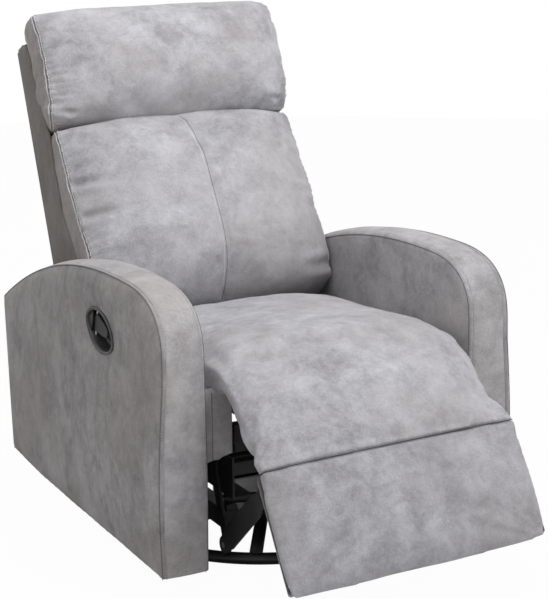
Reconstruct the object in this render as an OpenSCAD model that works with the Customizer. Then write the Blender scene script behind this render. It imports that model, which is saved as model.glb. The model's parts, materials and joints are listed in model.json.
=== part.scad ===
// Swivel rocker recliner with padded track arms, a manual footrest and a round floor ring.
// X runs across the chair, the chair faces -Y, +Z is up, and the origin is the swivel axis on the floor.

/* [Arms] */
// Clear width between the two arms
inner_w = 580; // [550:1:620]
// Width of an arm at its crest
arm_w = 90; // [80:1:110]
// How far the outer face leans out at its foot
arm_flare = 12; // [0:1:20]
// Height of the crest of the arm
arm_h = 577; // [550:1:600]
// Depth of the arm from front to back
arm_depth = 892; // [860:1:940]
// Height at which the straight front edge ends
arm_shoulder_h = 439; // [410:1:460]
// Distance of the crest behind the arm front
arm_crest_y = 194; // [160:1:230]
// Height of the arm at its rear edge
arm_rear_h = 399; // [360:1:430]
// How far the rear edge leans in towards its foot
arm_rear_lean = 45; // [20:1:60]
// Height of the arm's underside above the floor
arm_gap = 42; // [40:1:60]
// Extra height of the underside at its rear corner
arm_rear_lift = 20; // [5:1:40]
// Length over which the underside rises
arm_rear_rise_len = 180; // [100:1:240]
// Thickness of the padded band over front and top
band_t = 22; // [16:1:28]
// How far the band swells between its seams
band_crown = 4; // [0:0.5:7]
// Thickness of the outer padded panel
outer_panel_t = 14; // [10:1:18]
// Thickness of the inner padded panel
inner_panel_t = 8; // [5:1:12]
// Width of the plywood frame strip inside an arm
arm_frame_w = 42; // [30:1:50]

/* [Seat] */
// Width of the seat cushion
seat_w = 546; // [520:1:548]
// Height of the cushion's side seam at its front
seat_front_h = 439; // [430:1:450]
// Backward slope of the seat
seat_slope = 4.7; // [3:0.1:6]
// Distance of the seat's flat top behind the arm front
seat_front_y = 37; // [25:1:50]
// Length of the flat part of the seat
seat_len = 494; // [470:1:500]
// Radius of the rolled front edge
knee_r = 122; // [110:1:130]
// Downward slope of the leg pad
leg_slope = 45.5; // [42:0.5:48]
// Length of the leg pad
leg_len = 152; // [145:1:155]
// How far the seat crown stands above the side seam
seat_crown = 33; // [15:1:36]
// Thickness of the leg pad at its side seam
leg_t = 46; // [36:1:52]
// Height of the seat frame rails' top
rail_top = 306; // [300:1:308]
// Height of the seat frame rails
rail_h = 68; // [60:1:74]
// Wire diameter of the sinuous seat springs
seat_wire_d = 4; // [3:0.5:5]

/* [Back] */
// Lean of the back from vertical
back_lean = 21.9; // [20:0.1:24]
// Width of the back shell
back_w = 574; // [560:1:576]
// Length of the back shell along its rear face
back_len = 738; // [700:1:760]
// Depth of the shell's cheeks at the bottom
back_depth = 158; // [150:1:162]
// Depth of the shell's cheeks at the top
back_top_depth = 75; // [70:1:80]
// Thickness of the shell
shell_t = 7; // [5:0.5:9]
// Width of the lumbar cushion
lumbar_w = 558; // [540:1:558]
// Greatest depth of the lumbar cushion in front of the shell's rear face
lumbar_depth = 322; // [300:1:326]
// Width of the head pillow
pillow_w = 558; // [540:1:558]
// Greatest depth of the head pillow in front of the shell's rear face
pillow_depth = 232; // [215:1:240]

/* [Footrest] */
// Lean of the footrest board from vertical
foot_lean = 33.6; // [32:0.1:35]
// Length of the footrest
foot_len = 226; // [215:1:230]
// Width of the footrest pad
foot_w = 550; // [530:1:554]
// Thickness of the footrest board
board_t = 12; // [9:1:13]
// Depth of the footrest pad's side seam in front of the board's rear face
foot_seam = 30; // [27:1:36]
// Depth of the footrest pad's crown
foot_crown = 56; // [45:1:60]

/* [Base] */
// Distance of the swivel axis behind the arm front
swivel_setback = 346.5; // [345:0.5:355]
// Outer radius of the floor ring
ring_r = 335; // [325:1:338]
// Diameter of the ring's tube
ring_tube_d = 24; // [22:1:24]
// Thickness of the floor glides
glide_t = 3; // [2:0.5:3.5]
// Turn of the spider arms from straight ahead
spider_turn = 30; // [0:1:89]
// Width of the spider bars
spider_w = 24; // [18:1:28]
// Height of the spider bars
spider_h = 18; // [14:1:20]
// Diameter of the swivel bolt
swivel_bolt_d = 16; // [12:1:20]
// Diameter of the bearing balls
ball_d = 8; // [7:0.5:9]
// Number of bearing balls
ball_count = 24; // [16:1:28]
// Radius of the rocker cams
cam_r = 260; // [240:1:280]
// Wire diameter of the rocker springs
spring_wire = 5; // [4:0.5:6]
// Outer diameter of the rocker springs
spring_d = 42; // [36:1:46]
// Turns of each rocker spring
spring_turns = 5; // [4:1:6]

/* [Handle] */
// Length of the release handle's bezel
bezel_len = 142; // [120:1:150]
// Height of the bezel
bezel_h = 84; // [70:1:90]
// Tilt of the bezel, rear end up
bezel_tilt = 12; // [0:1:20]
// Height of the arm's crest above the bezel's centre
bezel_drop = 122; // [112:1:137]
// Distance of the bezel's centre behind the arm front
bezel_y = 294; // [250:1:340]
// Depth of the finger cup
cup_depth = 26; // [22:1:30]

/* [Fits] */
// Running clearance around a turning pin
run_fit = 0.1; // [0.05:0.01:0.15]
// Clearance around a pin that sits fast
seat_fit = 0.03; // [0.02:0.01:0.05]
// Gap between parts that lie against each other
lay_gap = 0.3; // [0.2:0.05:0.5]

/* [Hidden] */
$fn = 48;
over = 1;
front_y = -swivel_setback;
half_in = inner_w / 2;
fabric = "#a7a4a2";
fabric_dark = "#8f8c8a";
steel = "#1d1d20";
timber = "#b78f5c";
stained = "#232322";

// Mechanism planes, measured outwards from the centre plane
steel_t = 4;
plane_gap = 2;
side_gap = 3;
chassis_inset = 82;
chassis_x = half_in - chassis_inset;
seat_plate_x = chassis_x + steel_t + plane_gap;
lift_x = seat_plate_x + steel_t + plane_gap;
lift_t = 5;
carry_x = lift_x + lift_t + plane_gap;
foot_bracket_x = carry_x + steel_t + plane_gap;
side_rail_x = foot_bracket_x + steel_t + side_gap;
side_rail_end_x = half_in - side_gap;

// Pivots of the footrest linkage, a parallelogram in the YZ plane, from the foot of the arm front
arm_front = [front_y, 0];
seat_pivot_place = [112, 288];
low_pivot_place = [66, 57];
bracket_pivot_place = [-118, 220];
seat_pivot = arm_front + seat_pivot_place;
low_pivot = arm_front + low_pivot_place;
bracket_pivot = arm_front + bracket_pivot_place;
pivot_d = 12;
pivot_head_d = 18;
pivot_head_t = 3;
eye_r = 17;

// Rear ends of the seat's parts, the recline pivot, and the feet of the back and of the footrest
seat_rear_y = front_y + seat_front_y + seat_len * cos(seat_slope);
side_rail_tail = 10.5;
side_rail_rear = seat_rear_y + side_rail_tail;
rear_rail_w = 34;
rear_rail_lap = 4;
recline_place = [110, 24];
back_foot_place = [84, -80];
foot_base_place = [-281, 99];
recline_pivot = [side_rail_rear, rail_top] + recline_place;
back_foot = recline_pivot + back_foot_place;
foot_base = arm_front + foot_base_place;

// Heights of the turning stack
ring_z = glide_t + ring_tube_d / 2;
ring_mid_r = ring_r - ring_tube_d / 2;
hub_z = ring_z + spider_h / 2;
hub_r = 62;
hub_t = 5;
race_h = 8;
race_gap = 1;
race_pitch_r = 48;
race_half_w = 8;
race_z = hub_z + hub_t;
ball_z = race_z + race_h + race_gap / 2;
table_z = race_z + 2 * race_h + race_gap;
table_r = 110;
table_t = 5;
bolt_head_t = 7;
bolt_head_r = 14;
spider_in_r = 26;
glide_count = 6;
spider_count = 4;
glide_r = 15;
glide_grip = 2.5;

// Turntable
spring_y = 105;
spring_x = 140;
beam_w = 46;
beam_t = 8;
beam_z = table_z + table_t;
track_z = beam_z + beam_t;
track_h = 40;
track_x = 166;
track_w = 30;
track_front = 218;
track_rear = 200;
cam_seat_z = track_z + track_h;
bow_d = 20;
bow_lift = 22;
bow_z = cam_seat_z + bow_lift;
bow_front = 245;
bow_bend_r = 440;
bow_post_x = track_x + track_w / 2;
bow_post_w = 20;
bow_post_y = bow_front - bow_bend_r + sqrt(bow_bend_r * bow_bend_r - bow_post_x * bow_post_x);
cup_t = 4;
cup_lip = 6;
cup_wall = 2;
cup_play = 1;

// Chassis
cam_gap = 0.4;
cam_t = 10;
cam_half = 130;
cam_x = track_x + (track_w - cam_t) / 2;
cam_h = 50;
chassis_z = cam_seat_z + cam_gap + cam_h;
chassis_top = 232;
chassis_front = -288;
chassis_rear = 250;
flange_inset = 4;
flange_x = track_x + flange_inset;
bar_h = 26;
front_bar_y = -280;
front_bar_z = 194;
rear_bar_y = 212;
rear_bar_z = 200;
arm_bracket_w = 40;
arm_bracket_h = 36;
arm_bracket_y = [-120, 170];
arm_bolt_share = 0.6;
guide_z = 221;
guide_y = [-175, 100];
guide_d = 10;
guide_head_d = 16;
glide_travel = 50;

// Seat frame
seat_plate_z = 209;
seat_plate_ear_z = 268;
seat_plate_front = -190;
seat_plate_ear = 122;
seat_plate_rear = side_rail_rear - rear_rail_lap - lay_gap;
side_rail_set = 34;
side_rail_front = front_y + side_rail_set;
cross_rail_h = 54;
front_rail_set = 40;
front_rail_y = front_y + front_rail_set;
front_rail_w = 22;
rail_corner_r = 22;
spacer_w = 36;
spacer_inset = 4;
spacer_set = 207.5;
spacer_tail = 95.3;
spacer_y = [side_rail_front + spacer_set, side_rail_rear - spacer_tail];
wire_rows = 5;
wire_pitch = 84;
wire_waves = 7;
wire_amp = 22;
wire_sides = 6;
wire_steps = 7;
wire_fade_share = 0.125;

// Small fasteners
bolt_d = 8;
bolt_head_d = 14;
bolt_head_h = 5;

// Shared helpers

// A point part of the way from a to b
function mix(a, b, share) = a + (b - a) * share;

// Unit vector at an angle in the plane
function unit(angle) = [cos(angle), sin(angle)];

// A closed solid through rings of equal point counts, each clockwise about the path, with flat ends
module loft(rings) {
    n = len(rings[0]);
    m = len(rings);
    points = [for (ring = rings) for (p = ring) p];
    sides = [for (i = [0 : m - 2]) for (j = [0 : n - 1])
        let (a = i * n + j, b = i * n + (j + 1) % n, c = b + n, d = a + n)
        each [[a, c, d], [a, b, c]]];
    ends = concat(
        [for (j = [1 : n - 2]) [0, j + 1, j]],
        [for (j = [1 : n - 2]) [(m - 1) * n, (m - 1) * n + j, (m - 1) * n + j + 1]]);
    polyhedron(points, concat(sides, ends));
}

// A tube of the given radius through points, on frames that keep close to one side vector
function tube_rings(path, r, sides, hint) =
    [for (i = [0 : len(path) - 1])
        let (a = path[max(i - 1, 0)], b = path[min(i + 1, len(path) - 1)],
             t = (b - a) / norm(b - a),
             u0 = cross(t, hint), u = u0 / norm(u0), v = cross(t, u))
        [for (k = [0 : sides - 1]) path[i] + r * (u * cos(360 * k / sides) - v * sin(360 * k / sides))]];

// Places a child at x and at its mirror image
module both() {
    children();
    mirror([1, 0, 0]) children();
}

// Extrudes a YZ outline along X from x0 over a thickness
module yz_plate(x0, t) {
    translate([x0, 0, 0]) rotate([90, 0, 90]) linear_extrude(t) children();
}

// A round rod along X
module x_rod(at, x0, length, d) {
    translate([x0, at[0], at[1]]) rotate([0, 90, 0]) cylinder(d = d, h = length);
}

// A flat bar with round ends between two YZ points
module bar_2d(a, b, half_w) {
    n = 16;
    turn = atan2(b[1] - a[1], b[0] - a[0]);
    polygon(concat(
        [for (i = [0 : n]) a + half_w * unit(turn + 90 + 180 * i / n)],
        [for (i = [0 : n]) b + half_w * unit(turn - 90 + 180 * i / n)]));
}

// An ellipse as a polygon
module oval(w, h) {
    n = 48;
    polygon([for (i = [0 : n - 1]) [w / 2 * cos(360 * i / n), h / 2 * sin(360 * i / n)]]);
}

// How far a rounded end has filled out at distance s from it
function fill_out(s, r) = s >= r ? 1 : sqrt(max(0, 1 - pow((r - s) / r, 2)));

// Arm outline

shoulder_power = 2.8;
rear_power = 2.2;
front_steps = 4;
arch_steps = 10;
rear_steps = 10;
rear_end_share = 0.985;
rear_round = 14;
rear_top = [front_y + arm_depth, arm_rear_h - rear_round];
rear_foot = [front_y + arm_depth - arm_rear_lean, arm_gap + arm_rear_lift];
under_turn = [front_y + arm_depth - arm_rear_lean - arm_rear_rise_len, arm_gap];

// Outline of an arm, from its front foot over the crest to its rear foot, as [y, z]
arm_path = concat(
    [for (i = [0 : front_steps - 1]) [front_y, mix(arm_gap, arm_shoulder_h, i / front_steps)]],
    [for (i = [0 : arch_steps - 1]) let (a = 90 * i / arch_steps)
        [front_y + arm_crest_y * (1 - pow(cos(a), 2 / shoulder_power)),
         arm_shoulder_h + (arm_h - arm_shoulder_h) * pow(sin(a), 2 / shoulder_power)]],
    [for (i = [0 : rear_steps]) let (s = i / rear_steps * rear_end_share)
        [front_y + mix(arm_crest_y, arm_depth, s), arm_h - (arm_h - arm_rear_h) * pow(s, rear_power)]],
    [for (i = [0 : front_steps]) mix(rear_top, rear_foot, i / front_steps)]);

// Inward normal of the outline at point i
function arm_normal(i) =
    let (a = arm_path[max(i - 1, 0)], b = arm_path[min(i + 1, len(arm_path) - 1)],
         t = (b - a) / norm(b - a))
    [t[1], -t[0]];

// The outline moved inwards by a distance, closed along the underside by the same amount
function arm_inset(d) = concat(
    [for (i = [0 : len(arm_path) - 1]) let (p = arm_path[i] + d * arm_normal(i))
        [p[0], max(p[1], (i < front_steps ? arm_gap : arm_gap + arm_rear_lift) + d)]],
    [[under_turn[0], arm_gap + d]]);

// Outer face of the arm at a height
function arm_outer_x(z) = half_in + arm_w + arm_flare * (arm_h - z) / (arm_h - arm_gap);

flare_angle = atan2(arm_flare, arm_h - arm_gap);

// Puts a panel drawn with its outer face on x = 0 onto the arm's leaning outer face
module on_outer_face() {
    translate([half_in + arm_w, 0, arm_h]) rotate([0, -flare_angle, 0]) translate([0, 0, -arm_h]) children();
}

module arm_outer_panel(with_hole = false) {
    color(fabric) on_outer_face() difference() {
        yz_plate(-outer_panel_t, outer_panel_t) polygon(arm_inset(band_crown));
        if (with_hole) at_bezel() yz_plate(-outer_panel_t - over, outer_panel_t + 2 * over)
            oval(bezel_in_len + 2 * lay_gap, bezel_in_h + 2 * lay_gap);
    }
}

module arm_inner_panel(with_hole = false) {
    color(fabric) difference() {
        yz_plate(half_in, inner_panel_t) polygon(arm_inset(band_crown));
        if (with_hole) x_rod(cable_way, half_in - over, inner_panel_t + 2 * over, 2 * cable_d);
    }
}

// The padded band between the two panels, crowned between its seams
module arm_band() {
    x_in = half_in + inner_panel_t + lay_gap;
    crown_shares = [0, 0.75, 1, 0.75, 0];
    n_across = len(crown_shares) - 1;
    color(fabric) loft([for (i = [0 : len(arm_path) - 1])
        let (p = arm_path[i], n = arm_normal(i), x_out = arm_outer_x(p[1]) - outer_panel_t - lay_gap)
        concat(
            [for (k = [0 : n_across]) let (q = p + n * band_crown * (1 - crown_shares[k]))
                [mix(x_out, x_in, k / n_across), q[0], q[1]]],
            [for (x = [x_in, x_out]) let (q = p + n * band_t) [x, q[0], q[1]]])]);
}

band_pad_gap = 3;
frame_inset = band_t + band_pad_gap;
arm_core_x = half_in + inner_panel_t + lay_gap;
arm_core_w = arm_w - inner_panel_t - outer_panel_t - 2 * lay_gap;

// Plywood frame that the band is stretched over
module arm_frame() {
    color(timber) yz_plate(arm_core_x, arm_core_w) difference() {
        offset(delta = -frame_inset) polygon(arm_inset(0));
        offset(delta = -frame_inset - arm_frame_w) polygon(arm_inset(0));
    }
}

base_board_t = 9;

// Thin board that closes the underside of the arm, below its frame
module arm_base_board() {
    y0 = front_y + band_t + lay_gap;
    color(stained) translate([arm_core_x, y0, arm_gap + frame_inset - base_board_t - lay_gap])
        cube([arm_core_w, under_turn[0] - y0, base_board_t]);
}

// Release handle on the left arm

bezel_z = arm_h - bezel_drop;
bezel_rim_w = 7;
bezel_in_len = bezel_len - 2 * bezel_rim_w;
bezel_in_h = bezel_h - 2 * bezel_rim_w;
bezel_t = 3;
cup_wall_t = 2.5;
lever_t = 5;
lever_sink = 6;
lever_pin_d = 4;
lever_barrel_r = 4.5;
lever_w_share = 0.46;
lever_hinge_share = 0.27;
lever_tip_share = -0.15;
lever_w = bezel_h * lever_w_share;
lever_hinge_y = bezel_len * lever_hinge_share;
lever_tip_y = bezel_len * lever_tip_share;

// Moves a shape drawn round the YZ origin to the bezel's centre, long axis tilted
module at_bezel() {
    translate([0, front_y + bezel_y, bezel_z]) rotate([bezel_tilt, 0, 0]) children();
}

module on_left_bezel() {
    mirror([1, 0, 0]) on_outer_face() at_bezel() children();
}

module handle_bezel() {
    color(steel) on_left_bezel() difference() {
        union() {
            yz_plate(lay_gap, bezel_t) oval(bezel_len, bezel_h);
            yz_plate(-cup_depth, cup_depth + bezel_t) oval(bezel_in_len, bezel_in_h);
        }
        yz_plate(cup_wall_t - cup_depth, cup_depth + 2 * bezel_t)
            oval(bezel_in_len - 2 * cup_wall_t, bezel_in_h - 2 * cup_wall_t);
        lever_pin_bore();
    }
}

// Bore for the lever's pin across the cup
module lever_pin_bore() {
    translate([-lever_sink - lever_t / 2, lever_hinge_y, -bezel_h / 2])
        cylinder(d = lever_pin_d + 2 * seat_fit, h = bezel_h);
}

module release_pins() {
    length = bezel_in_h * sqrt(1 - pow((2 * lever_hinge_y + lever_pin_d) / bezel_in_len, 2));
    color("silver") on_left_bezel() translate([-lever_sink - lever_t / 2, lever_hinge_y, -length / 2])
        cylinder(d = lever_pin_d, h = length);
    pawl_pin();
}

module release_lever() {
    color(steel) on_left_bezel() difference() {
        union() {
            yz_plate(-lever_sink - lever_t, lever_t)
                translate([lever_tip_y, -lever_w / 2]) square([lever_hinge_y - lever_tip_y, lever_w]);
            translate([-lever_sink - lever_t / 2, lever_hinge_y, -lever_w / 2])
                cylinder(r = lever_barrel_r, h = lever_w);
        }
        translate([-lever_sink - lever_t / 2, lever_hinge_y, -bezel_h / 2])
            cylinder(d = lever_pin_d + 2 * run_fit, h = bezel_h);
    }
}

// Base that stands on the floor

module floor_ring() {
    color(steel) translate([0, 0, ring_z]) rotate_extrude($fn = 96)
        translate([ring_mid_r, 0]) circle(d = ring_tube_d);
}

module floor_glides() {
    color("#303033") for (i = [0 : glide_count - 1]) rotate([0, 0, 360 / glide_count * (i + 0.5)])
        difference() {
            translate([ring_mid_r, 0, 0]) cylinder(r = glide_r, h = glide_t + glide_grip);
            translate([0, 0, ring_z]) rotate_extrude($fn = 96)
                translate([ring_mid_r, 0]) circle(d = ring_tube_d + 2 * seat_fit);
        }
}

module spider_bars() {
    color(steel) for (i = [0 : spider_count - 1]) rotate([0, 0, 360 / spider_count * i - 90 - spider_turn])
        difference() {
            translate([spider_in_r, -spider_w / 2, ring_z - spider_h / 2])
                cube([ring_mid_r - spider_in_r, spider_w, spider_h]);
            translate([0, 0, ring_z]) rotate_extrude($fn = 96)
                translate([ring_mid_r, 0]) circle(d = ring_tube_d + lay_gap);
        }
}

module hub_plate() {
    color(steel) translate([0, 0, hub_z]) difference() {
        cylinder(r = hub_r, h = hub_t);
        translate([0, 0, -over]) cylinder(d = swivel_bolt_d + 2 * seat_fit, h = hub_t + 2 * over);
    }
}

module race(z) {
    difference() {
        translate([0, 0, z]) cylinder(r = race_pitch_r + race_half_w, h = race_h);
        translate([0, 0, z - over]) cylinder(r = race_pitch_r - race_half_w, h = race_h + 2 * over);
        translate([0, 0, ball_z]) rotate_extrude($fn = 72)
            translate([race_pitch_r, 0]) circle(d = ball_d + 2 * run_fit);
    }
}

module lower_race() {
    color("silver") race(race_z);
}

module upper_race() {
    color("silver") race(race_z + race_h + race_gap);
}

module bearing_balls() {
    color("silver") for (i = [0 : ball_count - 1]) rotate([0, 0, 360 * i / ball_count])
        translate([race_pitch_r, 0, ball_z]) sphere(d = ball_d, $fn = 24);
}

swivel_nut_t = 8;

module swivel_bolt() {
    top = table_z + table_t + lay_gap;
    color("silver") {
        translate([0, 0, hub_z - bolt_head_t]) cylinder(r = bolt_head_r, h = bolt_head_t);
        translate([0, 0, hub_z - over])
            cylinder(d = swivel_bolt_d, h = top - hub_z + swivel_nut_t + 2 * over);
        translate([0, 0, top]) cylinder(r = bolt_head_r, h = swivel_nut_t, $fn = 6);
    }
}

// Turntable that swivels on the base

module turntable_plate() {
    color(steel) translate([0, 0, table_z]) difference() {
        cylinder(r = table_r, h = table_t);
        translate([0, 0, -over]) cylinder(d = swivel_bolt_d + 2 * run_fit, h = table_t + 2 * over);
    }
}

module turntable_beams() {
    reach = track_x + track_w;
    color(steel) {
        for (side = [-1, 1])
            translate([-reach, side * spring_y - beam_w / 2, beam_z])
                cube([2 * reach, beam_w, beam_t]);
        at_springs() translate([0, 0, track_z - over]) spring_cup(over);
    }
}

module rocker_tracks() {
    color(steel) both() {
        translate([track_x, -track_front, track_z]) cube([track_w, track_front + track_rear, track_h]);
        translate([bow_post_x - bow_post_w / 2, -bow_post_y - bow_post_w / 2, cam_seat_z - over])
            cube([bow_post_w, bow_post_w, bow_z - bow_d / 2 - cam_seat_z + over - lay_gap]);
    }
}

// Front tube, bowed forwards between the two tracks
module front_bow_tube() {
    half_angle = asin((bow_post_x + bow_post_w / 2) / bow_bend_r);
    color(steel) translate([0, bow_bend_r - bow_front, bow_z]) rotate([0, 0, -90 - half_angle])
        rotate_extrude(angle = 2 * half_angle, $fn = 180) translate([bow_bend_r, 0]) circle(d = bow_d);
}

module rear_cross_tube() {
    reach = track_x - lay_gap;
    color(steel) x_rod([track_rear - bow_d, track_z + track_h / 2], -reach, 2 * reach, bow_d);
}

// A shallow cup that locates a spring's end, sunk into what it is welded to
module spring_cup(sunk) {
    difference() {
        cylinder(d = spring_d + 2 * cup_play + 2 * cup_wall, h = sunk + cup_lip);
        translate([0, 0, sunk + cup_t]) cylinder(d = spring_d + 2 * cup_play, h = cup_lip);
    }
}

// Repeats a child over the four rocker springs
module at_springs() {
    for (side = [-1, 1]) both() translate([spring_x, side * spring_y, 0]) children();
}

spring_z = track_z + cup_t;
spring_top_z = chassis_z + steel_t - cup_t;

end_pitch_share = 1.15;

// Helix with closed end turns, drawn upwards from z = 0
function helix_z(turn, height, turns) =
    let (grip = spring_wire * end_pitch_share, middle = (height - 2 * grip - spring_wire) / (turns - 2))
    spring_wire / 2 + (turn < 1 ? turn * grip : turn > turns - 1
        ? height - spring_wire - (turns - turn) * grip : grip + (turn - 1) * middle);

helix_steps = 8;
helix_path = [for (i = [0 : spring_turns * helix_steps])
    let (turn = i / helix_steps, r = (spring_d - spring_wire) / 2,
         z = helix_z(turn, spring_top_z - spring_z - lay_gap, spring_turns))
    [r * cos(360 * turn), r * sin(360 * turn), z]];

// Least distance between the wire's middle and the turn above it, less one wire
helix_gap = min([for (i = [0 : len(helix_path) - helix_steps - 1])
    norm(helix_path[i + helix_steps] - helix_path[i])]) - spring_wire;
echo(str("least gap between spring turns ", helix_gap));

module rocker_springs() {
    color("#3a3a3e") at_springs() translate([0, 0, spring_z])
        loft(tube_rings(helix_path, spring_wire / 2, wire_sides, [0, 0, 1]));
}

// Chassis that rocks on the turntable and carries the arms

module rocker_cams() {
    color(steel) both() yz_plate(cam_x, cam_t) intersection() {
        translate([0, cam_seat_z + cam_gap + cam_r]) circle(cam_r, $fn = 160);
        translate([-cam_half, cam_seat_z]) square([2 * cam_half, chassis_z - cam_seat_z]);
    }
}

// A side plate with its inward flange
module chassis_plate() {
    length = chassis_rear - chassis_front;
    difference() {
        union() {
            translate([chassis_x, chassis_front, chassis_z])
                cube([steel_t, length, chassis_top - chassis_z]);
            translate([flange_x, chassis_front, chassis_z])
                cube([chassis_x - flange_x + over, length, steel_t]);
        }
        for (y = guide_y)
            x_rod([y, guide_z], chassis_x - over, steel_t + 2 * over, guide_d + 2 * seat_fit);
    }
}

module chassis_plates() {
    color(steel) {
        chassis_plate();
        difference() {
            mirror([1, 0, 0]) chassis_plate();
            pawl_pin_bore();
        }
    }
}

// Angle bar across the chassis, flat face forwards
module cross_angle(y, z) {
    reach = chassis_x - lay_gap;
    color(steel) {
        translate([-reach, y, z]) cube([2 * reach, steel_t, bar_h]);
        translate([-reach, y, z + bar_h - steel_t]) cube([2 * reach, bar_h, steel_t]);
    }
}

module chassis_crossbars() {
    cross_angle(front_bar_y, front_bar_z);
    cross_angle(rear_bar_y, rear_bar_z);
}

// Flat bars over the springs
module spring_bars() {
    reach = chassis_x - lay_gap;
    color(steel) {
        for (side = [-1, 1])
            translate([-reach, side * spring_y - beam_w / 2, chassis_z + steel_t])
                cube([2 * reach, beam_w, steel_t]);
        at_springs() translate([0, 0, chassis_z + steel_t + over]) mirror([0, 0, 1]) spring_cup(over);
    }
}

// Brackets from the chassis out to the arms, each an angle bolted to the arm's inner panel
module arm_brackets() {
    reach = half_in - chassis_x - steel_t;
    color(steel) both() for (y = arm_bracket_y) {
        difference() {
            union() {
                translate([chassis_x + steel_t, y, chassis_z])
                    cube([reach - lay_gap, arm_bracket_w, steel_t]);
                translate([half_in - lay_gap - steel_t, y, chassis_z])
                    cube([steel_t, arm_bracket_w, arm_bracket_h]);
            }
            arm_bolt_rod(y, steel_t + 2 * over, bolt_d + 2 * seat_fit);
        }
    }
}

// Middle of a bracket's bolt, as [y, z]
function arm_bolt_at(y) = [y + arm_bracket_w / 2, chassis_z + arm_bracket_h * arm_bolt_share];

module arm_bolt_rod(y, length, d) {
    x_rod(arm_bolt_at(y), half_in - lay_gap - steel_t - over, length, d);
}

module arm_bolts() {
    color("silver") both() for (y = arm_bracket_y) {
        arm_bolt_rod(y, steel_t + over + lay_gap, bolt_d);
        x_rod(arm_bolt_at(y), half_in - lay_gap - steel_t - bolt_head_h, bolt_head_h, bolt_head_d);
    }
}

// Studs that the seat plates slide on
module guide_studs() {
    color("silver") both() for (y = guide_y) {
        x_rod([y, guide_z], chassis_x - pivot_head_t, pivot_head_t, guide_head_d);
        x_rod([y, guide_z], chassis_x - over, seat_plate_x + steel_t + lay_gap - chassis_x + over, guide_d);
    }
}

// Latch of the footrest on the left chassis plate

pawl_at = [-150, 193];
pawl_len = 46;
pawl_half_w = 9;
pawl_angle = 200;
pawl_pin_d = 8;
pawl_head_d = 14;
pawl_t = 4;

module pawl_pin_bore() {
    mirror([1, 0, 0]) x_rod(pawl_at, chassis_x - over, steel_t + 2 * over, pawl_pin_d + 2 * seat_fit);
}

module pawl_pin() {
    length = steel_t + pawl_t + 2 * lay_gap;
    color("silver") mirror([1, 0, 0]) {
        x_rod(pawl_at, chassis_x + steel_t - length, length, pawl_pin_d);
        x_rod(pawl_at, chassis_x + steel_t - length - pivot_head_t, pivot_head_t, pawl_head_d);
    }
}

module release_pawl() {
    color(steel) mirror([1, 0, 0]) yz_plate(chassis_x - lay_gap - pawl_t, pawl_t) difference() {
        bar_2d(pawl_at, pawl_at + pawl_len * unit(pawl_angle), pawl_half_w);
        translate(pawl_at) circle(d = pawl_pin_d + 2 * run_fit);
    }
}

// Cable from the cup down inside the arm, through the inner panel to the latch
cable_d = 5;
cable_way = [-118, 200];
cable_route = [[-356.5, -46, 448], [-348, -46, 447], [-341, -50, 434], [-337, -62, 392], [-335, -82, 326],
    [-333, -100, 262], [-326, -112, 222], [-313, -117, 204], [-298, -118, 200], [-250, -119, 200],
    [-212.4, -120, 200]];

module release_cable() {
    color("#161618") loft(tube_rings(cable_route, cable_d / 2, 8, [0, 1, 0]));
}

// Seat

// Slope in degrees of the seat's top line, forwards, at path length s from its rear end
arc_len = knee_r * (seat_slope + leg_slope) * PI / 180;
path_len = seat_len + arc_len + leg_len;
function path_slope(s) = s < seat_len ? seat_slope
    : s < seat_len + arc_len ? seat_slope - (s - seat_len) / knee_r * 180 / PI : -leg_slope;
seat_rear_top = [seat_rear_y, seat_front_h - seat_len * sin(seat_slope)];
seat_front_top = [front_y + seat_front_y, seat_front_h];
knee_mid = seat_front_top - knee_r * [sin(seat_slope), cos(seat_slope)];
knee_end = knee_mid + knee_r * [-sin(leg_slope), cos(leg_slope)];
// A point on the top side line, as [y, z]
function path_point(s) = s < seat_len ? mix(seat_rear_top, seat_front_top, s / seat_len)
    : s < seat_len + arc_len
        ? knee_mid + knee_r * path_up(s)
        : knee_end + (s - seat_len - arc_len) * [-cos(leg_slope), -sin(leg_slope)];
function path_up(s) = let (a = path_slope(s)) [sin(a), cos(a)];

// Thickness of the pad along the path: down to the seat springs, then thinning round the knee
pad_floor = rail_top + seat_wire_d + lay_gap;
flat_share = 0.92;
function pad_t(s) = s < seat_len * flat_share
    ? (path_point(s)[1] - pad_floor) / cos(seat_slope)
    : mix(pad_t(seat_len * flat_share - over), leg_t,
        min(1, (s - seat_len * flat_share) / (seat_len * (1 - flat_share) + arc_len)));

// One cross-section of a cushion: across x, with height h from bottom to the crowned top
width_shares = [-1, -0.94, -0.8, -0.58, -0.32, -0.05, 0, 0.05, 0.32, 0.58, 0.8, 0.94, 1];
crown_power = 2.4;
function crown_section(half, bottom, seam, crown, waist, groove = 0) = concat(
    [for (u = width_shares) let (h = seam + (crown - seam) * (1 - pow(abs(u), crown_power)))
        [half * u, h - (u == 0 ? groove : 0)]],
    [[half - waist, mix(bottom, seam, 0.5)], [half - waist / 2, bottom], [0, bottom],
     [waist / 2 - half, bottom], [waist - half, mix(bottom, seam, 0.5)]]);

// How far the seat's sides pull in at a rounded end, and between the seams
seat_end_pull = 12;
seat_waist = 5;

// A ring of the seat pad at path length s, scaled down towards a rounded end
function seat_ring(s, fill, half_w) =
    let (p = path_point(s), up = path_up(s), t = pad_t(s), crown = seat_crown * fill,
         drop = (1 - fill) * t / 2, half = half_w - (1 - fill) * seat_end_pull)
    [for (q = crown_section(half, -t + drop, -drop, crown - drop, seat_waist))
        [q[0], p[0] + up[0] * q[1], p[1] + up[1] * q[1]]];

seat_trim = 12;
seat_round = 46;

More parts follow.
